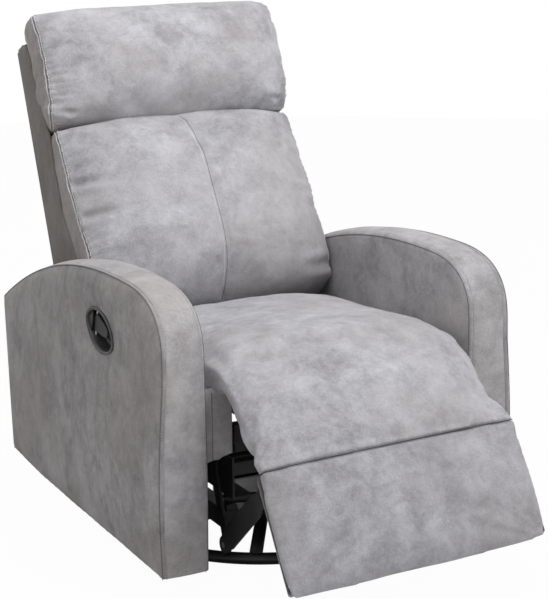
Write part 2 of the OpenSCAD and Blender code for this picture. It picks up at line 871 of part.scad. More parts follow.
module seat_cushion() {
    flat_steps = 6;
    arc_steps = 6;
    stations = concat(
        [for (share = [0.01, 0.07, 0.22, 0.52, 1]) seat_trim + share * seat_round],
        [for (i = [1 : flat_steps]) mix(seat_trim + seat_round, seat_len, i / flat_steps)],
        [for (i = [1 : arc_steps]) seat_len + arc_len * i / arc_steps - (i == arc_steps ? lay_gap : 0)]);
    color(fabric) loft([for (s = stations) seat_ring(s, fill_out(s - seat_trim, seat_round), seat_w / 2)]);
}

leg_round = 22;
leg_end_share = 0.15;

module leg_pad() {
    steps = 6;
    color(fabric) loft([for (i = [0 : steps])
        let (s = seat_len + arc_len + (leg_len - lay_gap) * i / steps)
        seat_ring(s, fill_out(path_len - s + leg_round * leg_end_share, leg_round), seat_w / 2)]);
}

// Padded side rails, with a rounded lower front corner
module side_rails() {
    z0 = rail_top - rail_h;
    color(fabric_dark) both() yz_plate(side_rail_x, side_rail_end_x - side_rail_x) union() {
        translate([side_rail_front + rail_corner_r, z0])
            square([side_rail_rear - side_rail_front - rail_corner_r, rail_h]);
        translate([side_rail_front, z0 + rail_corner_r])
            square([rail_corner_r + over, rail_h - rail_corner_r]);
        translate([side_rail_front + rail_corner_r, z0 + rail_corner_r]) circle(rail_corner_r);
    }
}

// Front and rear boards that the seat springs hang between
module seat_cross_rails() {
    front_reach = seat_plate_x - lay_gap;
    rear_reach = recline_x - lay_gap;
    color(stained) {
        translate([-front_reach, front_rail_y, rail_top - cross_rail_h])
            cube([2 * front_reach, front_rail_w, cross_rail_h]);
        translate([-rear_reach, side_rail_rear - rear_rail_lap, rail_top - cross_rail_h])
            cube([2 * rear_reach, rear_rail_w, cross_rail_h]);
    }
}

// Blocks that carry the side rails on the seat plates
module rail_spacers() {
    x0 = seat_plate_x + steel_t;
    color(timber) both() for (y = spacer_y)
        translate([x0, y, rail_top - rail_h + spacer_inset])
            cube([side_rail_x - x0, spacer_w, rail_h - 2 * spacer_inset]);
}

module seat_plates() {
    color(steel) both() yz_plate(seat_plate_x, steel_t) difference() {
        union() {
            translate([seat_plate_front, seat_plate_z])
                square([seat_plate_rear - seat_plate_front, rail_top - seat_plate_z]);
            translate([seat_plate_front - seat_plate_ear, seat_plate_ear_z])
                square([seat_plate_ear + over, rail_top - seat_plate_ear_z]);
        }
        translate(seat_pivot) circle(d = pivot_d + 2 * seat_fit);
        for (y = guide_y) bar_2d([y, guide_z], [y + glide_travel, guide_z], guide_d / 2 + run_fit);
    }
}

// Wave of one sinuous spring wire, from the front rail to the rear rail
function wave_path(x) =
    let (y0 = front_rail_y + front_rail_w / 2, y1 = side_rail_rear + rear_rail_w / 2,
         z = rail_top + seat_wire_d / 2, n = wire_waves * wire_steps)
    [for (i = [0 : n]) let (share = i / n, fade = min(1, min(share, 1 - share) / wire_fade_share))
        [x + wire_amp * fade * sin(360 * wire_waves * share), mix(y0, y1, share), z]];

module seat_springs() {
    color("#55555a") for (i = [0 : wire_rows - 1])
        loft(tube_rings(wave_path((i - (wire_rows - 1) / 2) * wire_pitch), seat_wire_d / 2, wire_sides,
            [0, 0, 1]));
}

// Pins of the footrest links' upper pivots and of the recline pivot
module seat_pins() {
    color("silver") both() {
        pivot_pin(seat_pivot, seat_plate_x, lift_x + lift_t);
        x_rod(recline_pivot, back_bracket_x - lay_gap, recline_x + recline_plate_t - back_bracket_x, pivot_d);
        x_rod(recline_pivot, back_bracket_x - lay_gap - pivot_head_t, pivot_head_t, pivot_head_d);
    }
}

// A pin from the outer face of one plate to the far face of another, with a head
module pivot_pin(at, x0, x1) {
    x_rod(at, x0 - pivot_head_t, pivot_head_t, pivot_head_d);
    x_rod(at, x0 - over, x1 - x0 + over + lay_gap, pivot_d);
}

// Plates that carry the recline pivot behind the seat
recline_plate_t = 5;
recline_x = side_rail_x - recline_plate_t;
recline_half_w = 16;
recline_tail = [-30, -26];
back_bracket_x = recline_x - recline_plate_t - plane_gap;

module recline_plates() {
    color(steel) both() yz_plate(recline_x, recline_plate_t - lay_gap / 2) difference() {
        bar_2d([side_rail_rear, rail_top] + recline_tail, recline_pivot, recline_half_w);
        translate(recline_pivot) circle(d = pivot_d + 2 * seat_fit);
    }
}

// Footrest links

lift_bend_place = [120, 196];
lift_bend = arm_front + lift_bend_place;
lift_half_w = 12;
carry_half_w = 23;
carry_wide_shares = [0.14, 0.78];
tie_d = 14;
tie_place = [4, -46];
tie_at = seat_pivot + tie_place;

module lift_links() {
    color(steel) both() yz_plate(lift_x, lift_t) difference() {
        union() {
            bar_2d(seat_pivot, lift_bend, lift_half_w);
            bar_2d(lift_bend, low_pivot, lift_half_w);
            translate(seat_pivot) circle(eye_r);
            translate(low_pivot) circle(eye_r);
        }
        translate(seat_pivot) circle(d = pivot_d + 2 * run_fit);
        translate(low_pivot) circle(d = pivot_d + 2 * seat_fit);
    }
}

// Tube that ties the left and right lift links
module link_tie_tube() {
    reach = lift_x - lay_gap;
    color(steel) x_rod(tie_at, -reach, 2 * reach, tie_d);
}

module low_pivot_pins() {
    color("silver") both() pivot_pin(low_pivot, lift_x, carry_x + steel_t);
}

module carry_links() {
    wide = [for (share = carry_wide_shares) mix(low_pivot, bracket_pivot, share)];
    color("#2a2a2e") both() yz_plate(carry_x, steel_t) difference() {
        union() {
            bar_2d(wide[0], wide[1], carry_half_w);
            bar_2d(low_pivot, bracket_pivot, eye_r);
        }
        translate(low_pivot) circle(d = pivot_d + 2 * run_fit);
        translate(bracket_pivot) circle(d = pivot_d + 2 * seat_fit);
    }
}

module bracket_pins() {
    color("silver") both() pivot_pin(bracket_pivot, carry_x, foot_bracket_x + steel_t);
}

// Footrest

// Draws in the footrest's own frame: Z up the board, Y behind its rear face
module on_foot() {
    translate([0, foot_base[0], foot_base[1]]) rotate([-foot_lean, 0, 0]) children();
}

// The bracket pivot in the footrest's own frame, as [y, z]
foot_pivot = let (d = bracket_pivot - foot_base)
    [d[0] * cos(foot_lean) - d[1] * sin(foot_lean), d[0] * sin(foot_lean) + d[1] * cos(foot_lean)];

module footrest_board() {
    edge = 4;
    color(fabric_dark) on_foot() translate([-foot_w / 2 + edge, -board_t, edge])
        cube([foot_w - 2 * edge, board_t, foot_len - 2 * edge]);
}

// Rounding of the footrest pad's lower and upper edges, and how far its sides pull in
foot_round = 26;
foot_top_round = 21;
foot_end_pull = 8;
foot_waist = 3;
// Depth of the pad's seam and crown where its edges are rounded off
foot_edge_seam = 4;
foot_edge_crown = 8;

module footrest_pad() {
    station_shares = [0.002, 0.018, 0.053, 0.115, 0.3, 0.5, 0.7, 0.894, 0.96, 0.991, 0.998];
    back = board_t + lay_gap;
    color(fabric) on_foot() loft([for (share = station_shares)
        let (s = share * foot_len,
             fill = min(fill_out(s, foot_round), fill_out(foot_len - s, foot_top_round)),
             half = foot_w / 2 - (1 - fill) * foot_end_pull,
             seam = mix(back + foot_edge_seam, foot_seam, fill),
             crown = mix(back + foot_edge_crown, foot_crown, fill))
        [for (q = crown_section(half, back, seam, crown, foot_waist)) [-q[0], -q[1], s]]]);
}

bracket_grip = 34;
bracket_flange = 14;

module footrest_brackets() {
    web_top_share = 0.6;
    web_h = 2 * bracket_grip + eye_r * web_top_share;
    color(steel) both() on_foot() {
        yz_plate(foot_bracket_x, steel_t) difference() {
            union() {
                bar_2d(foot_pivot, [bracket_grip / 2, foot_pivot[1] - bracket_grip], eye_r);
                translate([lay_gap, foot_pivot[1] - 2 * bracket_grip]) square([bracket_grip, web_h]);
            }
            translate(foot_pivot) circle(d = pivot_d + 2 * run_fit);
        }
        translate([foot_bracket_x, lay_gap, foot_pivot[1] - 2 * bracket_grip])
            cube([bracket_flange, steel_t, 2 * bracket_grip + eye_r]);
    }
}

// Back

// Draws in the back's own frame: Z up its rear face, -Y towards the sitter
module on_back() {
    translate([0, back_foot[0], back_foot[1]]) rotate([-back_lean, 0, 0]) children();
}

// Ends of the cushions in the back's own frame, above the foot of the rear face
lumbar_z = [76, 510];
pillow_z = [518, 780];
// Front edge of the shell's cheeks: heights as shares of its length, with shares of its lower or upper depth
cheek_shares = [[0, 0.72], [0.054, 1], [0.31, 0.98], [0.458, 0.74], [0.705, 0.7]];
cheek_top_shares = [[0.959, 1], [1, 0.8]];

module back_shell() {
    outer = concat([[0, 0]], [for (p = cheek_shares) [-p[1] * back_depth, p[0] * back_len]],
        [for (p = cheek_top_shares) [-p[1] * back_top_depth, p[0] * back_len]], [[0, back_len]]);
    color(fabric) on_back() difference() {
        yz_plate(-back_w / 2, back_w) polygon(outer);
        translate([-back_w / 2 + shell_t, -back_depth - over, -over])
            cube([back_w - 2 * shell_t, back_depth + over - shell_t, back_len - shell_t + over]);
    }
}

frame_deep = 46;
frame_clear = 14;
frame_back = shell_t + frame_clear;
frame_foot_z = 72;
frame_top_z = 700;
frame_x = back_bracket_x + recline_plate_t;
frame_w = back_w / 2 - shell_t - lay_gap - frame_x;

module back_side_rails() {
    color(timber) on_back() both() translate([frame_x, -frame_back - frame_deep, frame_foot_z])
        cube([frame_w, frame_deep, frame_top_z - frame_foot_z]);
}

module back_cross_rails() {
    low_reach = back_bracket_x - lay_gap;
    color(timber) on_back() {
        translate([-low_reach, -frame_back - frame_deep, frame_foot_z])
            cube([2 * low_reach, frame_deep, frame_w]);
        translate([-frame_x, -frame_back - frame_deep, frame_top_z - frame_w])
            cube([2 * frame_x, frame_deep, frame_w]);
    }
}

strap_t = 2;
strap_w = 50;
strap_z = [170, 270, 370, 470, 570];

module back_straps() {
    color("#6d655c") on_back() for (u = strap_z)
        translate([-frame_x - frame_w / 2, -frame_back - frame_deep - lay_gap - strap_t, u])
            cube([2 * frame_x + frame_w, strap_t, strap_w]);
}

// The recline pivot in the back's own frame, as [y, z]
back_pivot = let (d = recline_pivot - back_foot)
    [d[0] * cos(back_lean) - d[1] * sin(back_lean), d[0] * sin(back_lean) + d[1] * cos(back_lean)];

// Where a bracket turns up along its side rail, and where it ends
bracket_turn = 20;
bracket_rise = 118;

module back_brackets() {
    turn = [-frame_back - frame_deep / 2, frame_foot_z + bracket_turn];
    top = [turn[0], frame_foot_z + bracket_rise];
    color(steel) on_back() both() yz_plate(back_bracket_x, recline_plate_t) difference() {
        union() {
            bar_2d(back_pivot, turn, recline_half_w);
            bar_2d(turn, top, recline_half_w);
        }
        translate(back_pivot) circle(d = pivot_d + 2 * run_fit);
    }
}

// How far a cushion's ends pull in from its sides, its waist between the seams, and its middle seam's depth
side_pull = 14;
cushion_waist = 8;
lumbar_groove = 5;
lumbar_round = 40;
pillow_round = 34;
// Depth of a cushion's crown and of its side seam up the back, as shares of its greatest depth
lumbar_crown_shares = [[0, 0.88], [0.19, 0.985], [0.34, 1], [0.53, 0.945], [0.72, 0.875], [0.9, 0.76],
    [1, 0.66]];
lumbar_seam_shares = [[0, 0.6], [0.12, 0.735], [0.3, 0.72], [0.48, 0.63], [0.66, 0.56], [0.9, 0.45],
    [1, 0.36]];
pillow_crown_shares = [[0, 0.82], [0.15, 0.93], [0.4, 1], [0.65, 0.99], [0.85, 0.9], [1, 0.66]];
pillow_seam_shares = [[0, 0.6], [0.15, 0.66], [0.4, 0.7], [0.65, 0.69], [0.85, 0.58], [1, 0.46]];

// Rear face of the back's cushions, just in front of the straps and between the shell's cheeks
cushion_rear = frame_back + frame_deep + strap_t + 2 * lay_gap;

// A cushion on the back between two heights
module back_cushion(ends, width, depth, crown_shares, seam_shares, round_r, groove) {
    size = ends[1] - ends[0];
    station_shares = [0.003, 0.02, 0.06, 0.14, 0.25, 0.38, 0.52, 0.66, 0.78, 0.88, 0.945, 0.98, 0.997];
    on_back() loft([for (share = station_shares)
        let (s = share * size, u = ends[0] + s, fill = min(fill_out(s, round_r), fill_out(size - s, round_r)),
             seam = depth * lookup(share, seam_shares), crown = depth * lookup(share, crown_shares),
             middle = mix(cushion_rear, seam, 0.5), half = width / 2 - (1 - fill) * side_pull,
             rear = mix(middle, cushion_rear, fill), edge = mix(middle, seam, fill),
             top = mix(mix(middle, crown, 0.5), crown, fill),
             cut = groove * fill_out(min(s, size - s) - round_r / 2, round_r))
        [for (q = crown_section(half, rear, edge, top, cushion_waist, cut)) [-q[0], -q[1], u]]]);
}

module lumbar_cushion() {
    color(fabric) back_cushion(lumbar_z, lumbar_w, lumbar_depth, lumbar_crown_shares, lumbar_seam_shares,
        lumbar_round, lumbar_groove);
}

module head_pillow() {
    color(fabric) back_cushion(pillow_z, pillow_w, pillow_depth, pillow_crown_shares, pillow_seam_shares,
        pillow_round, 0);
}

module left() {
    mirror([1, 0, 0]) children();
}

module left_arm_frame() { left() arm_frame(); }
module left_arm_outer_panel() { left() arm_outer_panel(with_hole = true); }
module left_arm_inner_panel() { left() arm_inner_panel(with_hole = true); }
module left_arm_band() { left() arm_band(); }
module right_arm_frame() { arm_frame(); }
module right_arm_outer_panel() { arm_outer_panel(); }
module right_arm_inner_panel() { arm_inner_panel(); }
module right_arm_band() { arm_band(); }
module arm_base_boards() { both() arm_base_board(); }

floor_ring();
floor_glides();
spider_bars();
hub_plate();
lower_race();
bearing_balls();
swivel_bolt();
upper_race();
turntable_plate();
turntable_beams();
rocker_tracks();
front_bow_tube();
rear_cross_tube();
rocker_springs();
rocker_cams();
chassis_plates();
chassis_crossbars();
spring_bars();
arm_brackets();
arm_bolts();
guide_studs();
release_pins();
release_cable();
handle_bezel();
release_lever();
release_pawl();
left_arm_frame();
left_arm_outer_panel();
left_arm_inner_panel();
left_arm_band();
right_arm_frame();
right_arm_outer_panel();
right_arm_inner_panel();
right_arm_band();
arm_base_boards();
side_rails();
seat_cross_rails();
rail_spacers();
seat_plates();
seat_springs();
seat_pins();
recline_plates();
seat_cushion();
leg_pad();
lift_links();
link_tie_tube();
low_pivot_pins();
carry_links();
bracket_pins();
footrest_board();
footrest_pad();
footrest_brackets();
back_shell();
back_side_rails();
back_cross_rails();
back_straps();
back_brackets();
lumbar_cushion();
head_pillow();
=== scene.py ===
"""Visual model of a swivel rocker recliner: upholstery, stitching and finishes round its CAD frame."""

import json
import logging
import math
from dataclasses import dataclass, field
from enum import Enum
from typing import Any, Callable, Iterable, Sequence

import bmesh
import bpy
from mathutils import Matrix, Vector, kdtree, noise
from mathutils.bvhtree import BVHTree


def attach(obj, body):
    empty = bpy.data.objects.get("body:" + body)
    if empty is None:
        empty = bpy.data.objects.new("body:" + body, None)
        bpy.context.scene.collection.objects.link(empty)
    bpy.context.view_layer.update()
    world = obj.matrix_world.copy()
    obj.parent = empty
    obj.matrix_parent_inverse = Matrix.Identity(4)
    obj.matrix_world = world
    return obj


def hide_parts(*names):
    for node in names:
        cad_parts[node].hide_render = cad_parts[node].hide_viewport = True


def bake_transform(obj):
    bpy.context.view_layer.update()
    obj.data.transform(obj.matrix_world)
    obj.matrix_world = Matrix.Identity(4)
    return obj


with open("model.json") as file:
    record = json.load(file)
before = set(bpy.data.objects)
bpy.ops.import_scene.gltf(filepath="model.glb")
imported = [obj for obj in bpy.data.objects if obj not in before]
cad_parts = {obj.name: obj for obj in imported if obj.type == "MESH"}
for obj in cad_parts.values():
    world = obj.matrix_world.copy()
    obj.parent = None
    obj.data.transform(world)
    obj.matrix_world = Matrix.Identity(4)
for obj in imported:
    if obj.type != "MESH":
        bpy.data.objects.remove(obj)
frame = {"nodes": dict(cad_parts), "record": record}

logging.basicConfig(level=logging.INFO, format="%(message)s")
log = logging.getLogger("recliner")

Pair = tuple[float, float]
Triple = tuple[float, float, float]

# Place of the arms' fronts, and half the clear width between the arms
FRONT_Y = -0.3465
HALF_IN = 0.290
# Middle of the release handle behind the arm's front and over the floor, and its slope in degrees
HANDLE_BACK = 0.294
HANDLE_UP = 0.455
HANDLE_TILT = 12.0


# Small sums


def mix(a: float, b: float, share: float) -> float:
    """Return the number part of the way from a to b."""
    return a + (b - a) * share


def mix_pair(a: Pair, b: Pair, share: float) -> Pair:
    """Return the point part of the way from a to b."""
    return (mix(a[0], b[0], share), mix(a[1], b[1], share))


def shares(count: int) -> list[float]:
    """Return the shares from 0 to 1 in even steps."""
    return [i / count for i in range(count + 1)]


def smooth(share: float) -> float:
    """Ease a share between 0 and 1."""
    share = min(1.0, max(0.0, share))
    return share * share * (3 - 2 * share)


def fill_out(distance: float, radius: float) -> float:
    """Return how far a rounded end has filled out at a distance from it, 0 to 1."""
    if distance >= radius:
        return 1.0
    return math.sqrt(max(0.0, 1 - ((radius - distance) / radius) ** 2))


def through(table: Sequence[Pair], at: float) -> float:
    """Read a smooth curve through a table of (place, value) rows.

    Args:
        table: Rows in rising order of place.
        at: Place to read.

    Returns:
        The value on a curve whose slopes never overshoot the rows.
    """
    if at <= table[0][0]:
        return table[0][1]
    if at >= table[-1][0]:
        return table[-1][1]
    i = max(k for k in range(len(table) - 1) if table[k][0] <= at)

    def slope(k: int) -> float:
        """Return the slope of the curve at row k."""
        if k == 0 or k == len(table) - 1:
            return 0.0
        left = (table[k][1] - table[k - 1][1]) / (table[k][0] - table[k - 1][0])
        right = (table[k + 1][1] - table[k][1]) / (table[k + 1][0] - table[k][0])
        return 0.0 if left * right <= 0 else 2 * left * right / (left + right)

    (x0, v0), (x1, v1) = table[i], table[i + 1]
    width = x1 - x0
    t = (at - x0) / width
    return (v0 * (2 * t ** 3 - 3 * t ** 2 + 1) + width * slope(i) * (t ** 3 - 2 * t ** 2 + t)
            + v1 * (3 * t ** 2 - 2 * t ** 3) + width * slope(i + 1) * (t ** 3 - t ** 2))


def resample(points: Sequence[Vector], pitch: float) -> list[Vector]:
    """Return points at an even pitch along a polyline, its ends kept."""
    lengths = [0.0]
    for a, b in zip(points, points[1:]):
        lengths.append(lengths[-1] + (b - a).length)
    count = max(2, round(lengths[-1] / pitch) + 1)
    result, k = [], 0
    for i in range(count):
        target = lengths[-1] * i / (count - 1)
        while k < len(points) - 2 and lengths[k + 1] < target:
            k += 1
        span = lengths[k + 1] - lengths[k]
        share = 0.0 if span == 0 else (target - lengths[k]) / span
        result.append(points[k].lerp(points[k + 1], min(1.0, share)))
    return result


# Meshes


def new_object(name: str, mesh: bpy.types.Mesh) -> bpy.types.Object:
    """Link a new object that holds the mesh, shaded smooth."""
    obj = bpy.data.objects.new(name, mesh)
    bpy.context.scene.collection.objects.link(obj)
    mesh.shade_smooth()
    return obj


def mesh_from(name: str, points: Iterable[Sequence[float]], faces: Iterable[Sequence[int]]) -> bpy.types.Object:
    """Build an object from points and faces, its faces turned outwards.

    Args:
        name: Name of the object.
        points: Corners in metres.
        faces: Corner numbers of each face.

    Returns:
        The new object.
    """
    mesh = bpy.data.meshes.new(name)
    mesh.from_pydata([tuple(p) for p in points], [], [tuple(f) for f in faces])
    work = bmesh.new()
    work.from_mesh(mesh)
    bmesh.ops.remove_doubles(work, verts=work.verts, dist=1e-6)
    bmesh.ops.dissolve_degenerate(work, edges=work.edges, dist=1e-6)
    open_edges = [e for e in work.edges if len(e.link_faces) == 1]
    if open_edges:
        closed = bmesh.ops.holes_fill(work, edges=open_edges, sides=0)
        bmesh.ops.triangulate(work, faces=closed["faces"])
    bmesh.ops.recalc_face_normals(work, faces=work.faces)
    if sum((f.calc_center_median().dot(f.normal) * f.calc_area() for f in work.faces)) < 0:
        bmesh.ops.reverse_faces(work, faces=work.faces)
    work.to_mesh(mesh)
    work.free()
    return new_object(name, mesh)


def loft(name: str, rings: Sequence[Sequence[Sequence[float]]], round_path: bool = False) -> bpy.types.Object:
    """Build a closed solid through rings of equal point counts.

    Args:
        name: Name of the object.
        rings: Cross-sections along the path.
        round_path: Whether the path returns to its start.

    Returns:
        The new object.
    """
    n, m = len(rings[0]), len(rings)
    points = [p for ring in rings for p in ring]
    faces: list[Sequence[int]] = []
    for i in range(m if round_path else m - 1):
        k = (i + 1) % m
        faces += [(i * n + j, i * n + (j + 1) % n, k * n + (j + 1) % n, k * n + j) for j in range(n)]
    if not round_path:
        for start in (0, (m - 1) * n):
            points.append([sum(points[start + j][a] for j in range(n)) / n for a in range(3)])
            faces += [(start + j, start + (j + 1) % n, len(points) - 1) for j in range(n)]
    return mesh_from(name, points, faces)


def apply_modifiers(obj: bpy.types.Object) -> None:
    """Bake an object's modifiers into its mesh."""
    evaluated = obj.evaluated_get(bpy.context.evaluated_depsgraph_get())
    mesh = bpy.data.meshes.new_from_object(evaluated)
    old = obj.data
    obj.modifiers.clear()
    obj.data = mesh
    if isinstance(old, bpy.types.Mesh):
        bpy.data.meshes.remove(old)
    mesh.shade_smooth()


def subdivide(obj: bpy.types.Object, levels: int = 1) -> None:
    """Smooth an object by subdivision and bake the result."""
    modifier = obj.modifiers.new("smooth", "SUBSURF")
    modifier.levels = levels
    modifier.render_levels = levels
    apply_modifiers(obj)


def join(name: str, parts: Sequence[bpy.types.Object]) -> bpy.types.Object:
    """Join objects into the first one and give it a name."""
    with bpy.context.temp_override(active_object=parts[0], selected_editable_objects=list(parts)):
        bpy.ops.object.join()
    parts[0].name = name
    return parts[0]


# Shader nodes


class Socket:
    """An output socket that takes part in sums; each sum adds a Math node."""

    def __init__(self, graph: "NodeGraph", output: bpy.types.NodeSocket) -> None:
        """Wrap an output socket of a graph."""
        self.graph = graph
        self.output = output

    def _math(self, operation: str, a: "Socket | float", b: "Socket | float") -> "Socket":
        """Add a Math node that works on two values."""
        return self.graph.add("ShaderNodeMath", {"operation": operation}, {0: a, 1: b})

    def __add__(self, other: "Socket | float") -> "Socket":
        """Return the sum."""
        return self._math("ADD", self, other)

    def __sub__(self, other: "Socket | float") -> "Socket":
        """Return the difference."""
        return self._math("SUBTRACT", self, other)

    def __rsub__(self, other: "Socket | float") -> "Socket":
        """Return the difference from a number."""
        return self._math("SUBTRACT", other, self)

    def __mul__(self, other: "Socket | float") -> "Socket":
        """Return the product."""
        return self._math("MULTIPLY", self, other)

    __radd__ = __add__
    __rmul__ = __mul__

    def distance_from(self, middle: float) -> "Socket":
        """Return how far the value lies from a number."""
        return self.graph.add("ShaderNodeMath", {"operation": "ABSOLUTE"}, {0: self - middle})


class NodeGraph:
    """The node tree of one material or world."""

    def __init__(self, owner: bpy.types.Material | bpy.types.World, shader: str = "Principled BSDF") -> None:
        """Open the nodes of a new material or world and find its shader."""
        owner.use_nodes = True
        self.owner = owner
        self.tree = owner.node_tree
        self.shader = self.tree.nodes[shader]

    def add(self, kind: str, settings: dict[str, Any] | None = None,
            inputs: dict[int | str, Any] | None = None, output: int | str = 0) -> Socket:
        """Add a node, set it up and return one of its outputs.

        Args:
            kind: Node type.
            settings: Properties, set first.
            inputs: Values or links of its input sockets.
            output: Output socket to return.

        Returns:
            The wrapped output socket.
        """
        node = self.tree.nodes.new(kind)
        for key, value in (settings or {}).items():
            setattr(node, key, value)
        for key, value in (inputs or {}).items():
            self.feed(node.inputs[key], value)
        return Socket(self, node.outputs[output])

    def feed(self, target: bpy.types.NodeSocket, value: Any) -> None:
        """Link a socket or set its value."""
        if isinstance(value, Socket):
            self.tree.links.new(value.output, target)
        else:
            target.default_value = value

    def coordinates(self, scale: Triple = (1, 1, 1), shift: Triple = (0, 0, 0)) -> Socket:
        """Return the object coordinates, shifted and then scaled."""
        place = self.add("ShaderNodeTexCoord", output="Object")
        if scale == (1, 1, 1) and shift == (0, 0, 0):
            return place
        return self.add("ShaderNodeMapping", {}, {"Vector": place, "Scale": scale, "Location": shift})

    def cloud(self, scale: float, detail: float = 3.0, rough: float = 0.55, warp: float = 0.0,
              place: Socket | None = None) -> Socket:
        """Return soft noise between 0 and 1."""
        return self.add("ShaderNodeTexNoise", {}, {
            "Vector": place or self.coordinates(), "Scale": scale, "Detail": detail, "Roughness": rough,
            "Distortion": warp}, "Fac")

    def ramp(self, value: Socket, low: float, high: float) -> Socket:
        """Return the value stretched so that low becomes 0 and high becomes 1, clamped."""
        return self.add("ShaderNodeMapRange", {"clamp": True}, {
            "Value": value, "From Min": low, "From Max": high, "To Min": 0.0, "To Max": 1.0})

    def blend(self, share: Socket | float, a: Any, b: Any) -> Socket:
        """Return the colour part of the way from a to b."""
        def tone(value: Any) -> Any:
            """Return a colour with its alpha."""
            return value if isinstance(value, Socket) else (*value, 1.0)
        return self.add("ShaderNodeMix", {"data_type": "RGBA"}, {0: share, 6: tone(a), 7: tone(b)}, 2)

    def bump(self, height: Socket, depth: float, under: Socket | None = None) -> Socket:
        """Return a normal bent by a height in metres times depth."""
        inputs = {"Height": height, "Strength": 1.0, "Distance": depth}
        if under:
            inputs["Normal"] = under
        return self.add("ShaderNodeBump", {}, inputs, "Normal")

    def finish(self, **values: Any) -> Any:
        """Set the shader's sockets, named with underscores, and return the material or world."""
        for key, value in values.items():
            self.feed(self.shader.inputs[key.replace("_", " ")], value)
        return self.owner


class Nap(Enum):
    """Which way the brushed nap of the microfibre shows."""

    CLOUDED = "clouded"
    STREAKED = "streaked"


@dataclass(frozen=True)
class SuedeFinish:
    """Brushed grey microfibre with clouds, fine veins and a soft nap.

    Attributes:
        name: Name of the material.
        pale: Tone of the brushed-up places.
        deep: Tone of the brushed-down places.
        nap: Whether the clouds are drawn out into streaks.
        contrast: How strongly the clouds show, 0 to 1.
    """

    name: str
    pale: Triple
    deep: Triple
    nap: Nap = Nap.CLOUDED
    contrast: float = 1.0

    # Scale, detail, roughness and warp of each layer of cloud, its stops, and its share of the tone
    CLOUDS = ((7.0, 4.0, 0.55, 0.3, 0.39, 0.61, 0.24), (19.0, 5.0, 0.62, 0.5, 0.37, 0.64, 0.36),
              (58.0, 5.0, 0.66, 0.4, 0.35, 0.66, 0.22))
    GRAIN_SHARE = 0.18
    STREAK_SHARE = 0.12
    WARM_SHARE = 0.36
    WARM_TINT = (1.05, 0.99, 0.91)

    def build(self) -> bpy.types.Material:
        """Return the material."""
        g = NodeGraph(bpy.data.materials.new(self.name))
        place = g.coordinates(scale=(1.0, 1.0, 0.82)) if self.nap is Nap.STREAKED else g.coordinates()
        grain = g.ramp(g.cloud(240.0, 3.0, 0.70, 0.2), 0.32, 0.70)
        veins = g.ramp(g.cloud(30.0, 4.0, 0.6, 1.2, place).distance_from(0.5), 0.0, 0.035)
        tone = grain * self.GRAIN_SHARE
        for scale, detail, rough, warp, low, high, share in self.CLOUDS:
            tone = tone + g.ramp(g.cloud(scale, detail, rough, warp, place), low, high) * share
        if self.nap is Nap.STREAKED:
            streak = g.ramp(g.cloud(90.0, 4.0, 0.6, 0.3, g.coordinates(scale=(1.0, 1.0, 0.28))), 0.34, 0.68)
            tone = tone * (1 - self.STREAK_SHARE) + streak * self.STREAK_SHARE
        tone = (tone - 0.5) * (1.05 * self.contrast) + 0.5
        tone = tone + (1 - veins) * (0.08 * self.contrast)
        colour = g.blend(g.ramp(tone, 0.0, 1.0), self.deep, self.pale)
        warm = g.ramp(g.cloud(4.2, 3.0, 0.5, 0.0, g.coordinates(shift=(0.7, 1.3, 0.2))), 0.42, 0.62)
        warmer = tuple(tint * mix(a, b, 0.5) for tint, a, b in zip(self.WARM_TINT, self.deep, self.pale))
        colour = g.blend(warm * self.WARM_SHARE, colour, warmer)
        fuzz = g.cloud(1500.0, 2.0, 0.6)
        hide = g.cloud(190.0, 5.0, 0.68, 0.5, place)
        normal = g.bump(1 - veins, 0.0003, g.bump(hide, 0.0019, g.bump(fuzz, 0.0004)))
        return g.finish(Base_Color=colour, Roughness=0.80 + (1 - grain) * 0.12, Normal=normal,
                        Specular_IOR_Level=0.18, Sheen_Weight=0.18, Sheen_Roughness=0.45)


@dataclass(frozen=True)
class CoatFinish:
    """Powder coat or moulded plastic: one tone with orange peel, dust and rubbed places.

    Attributes:
        name: Name of the material.
        tone: Colour of the coat.
        rough: Roughness of the coat.
        peel: Depth of the orange peel in metres.
        metallic: How metallic it is.
        grain_scale: Grains to the metre.
    """

    name: str
    tone: Triple
    rough: float = 0.42
    peel: float = 0.0001
    metallic: float = 0.0
    grain_scale: float = 900.0

    def build(self) -> bpy.types.Material:
        """Return the material."""
        g = NodeGraph(bpy.data.materials.new(self.name))
        dust = g.ramp(g.cloud(18.0, 5.0, 0.65), 0.35, 0.75)
        peel = g.cloud(self.grain_scale, 2.0, 0.5)
        lighter = tuple(min(1.0, c * 1.5 + 0.012) for c in self.tone)
        colour = g.blend(dust * 0.45, self.tone, lighter)
        rough = self.rough + dust * 0.16 - 0.05
        return g.finish(Base_Color=colour, Roughness=rough, Metallic=self.metallic,
                        Normal=g.bump(peel, self.peel))


@dataclass(frozen=True)
class BrushedFinish:
    """Plated or drawn steel with fine lines.

    Attributes:
        name: Name of the material.
        tone: Colour of the metal.
        rough: Mean roughness.
    """

    name: str
    tone: Triple
    rough: float = 0.34

    def build(self) -> bpy.types.Material:
        """Return the material."""
        g = NodeGraph(bpy.data.materials.new(self.name))
        lines = g.cloud(260.0, 3.0, 0.6, 0.0, g.coordinates(scale=(0.12, 1.0, 1.0)))
        spots = g.ramp(g.cloud(60.0, 4.0, 0.6), 0.4, 0.8)
        darker = tuple(c * 0.72 for c in self.tone)
        colour = g.blend(spots * 0.5, self.tone, darker)
        return g.finish(Base_Color=colour, Roughness=self.rough + lines * 0.2 - 0.1, Metallic=1.0,
                        Normal=g.bump(lines, 0.00008))


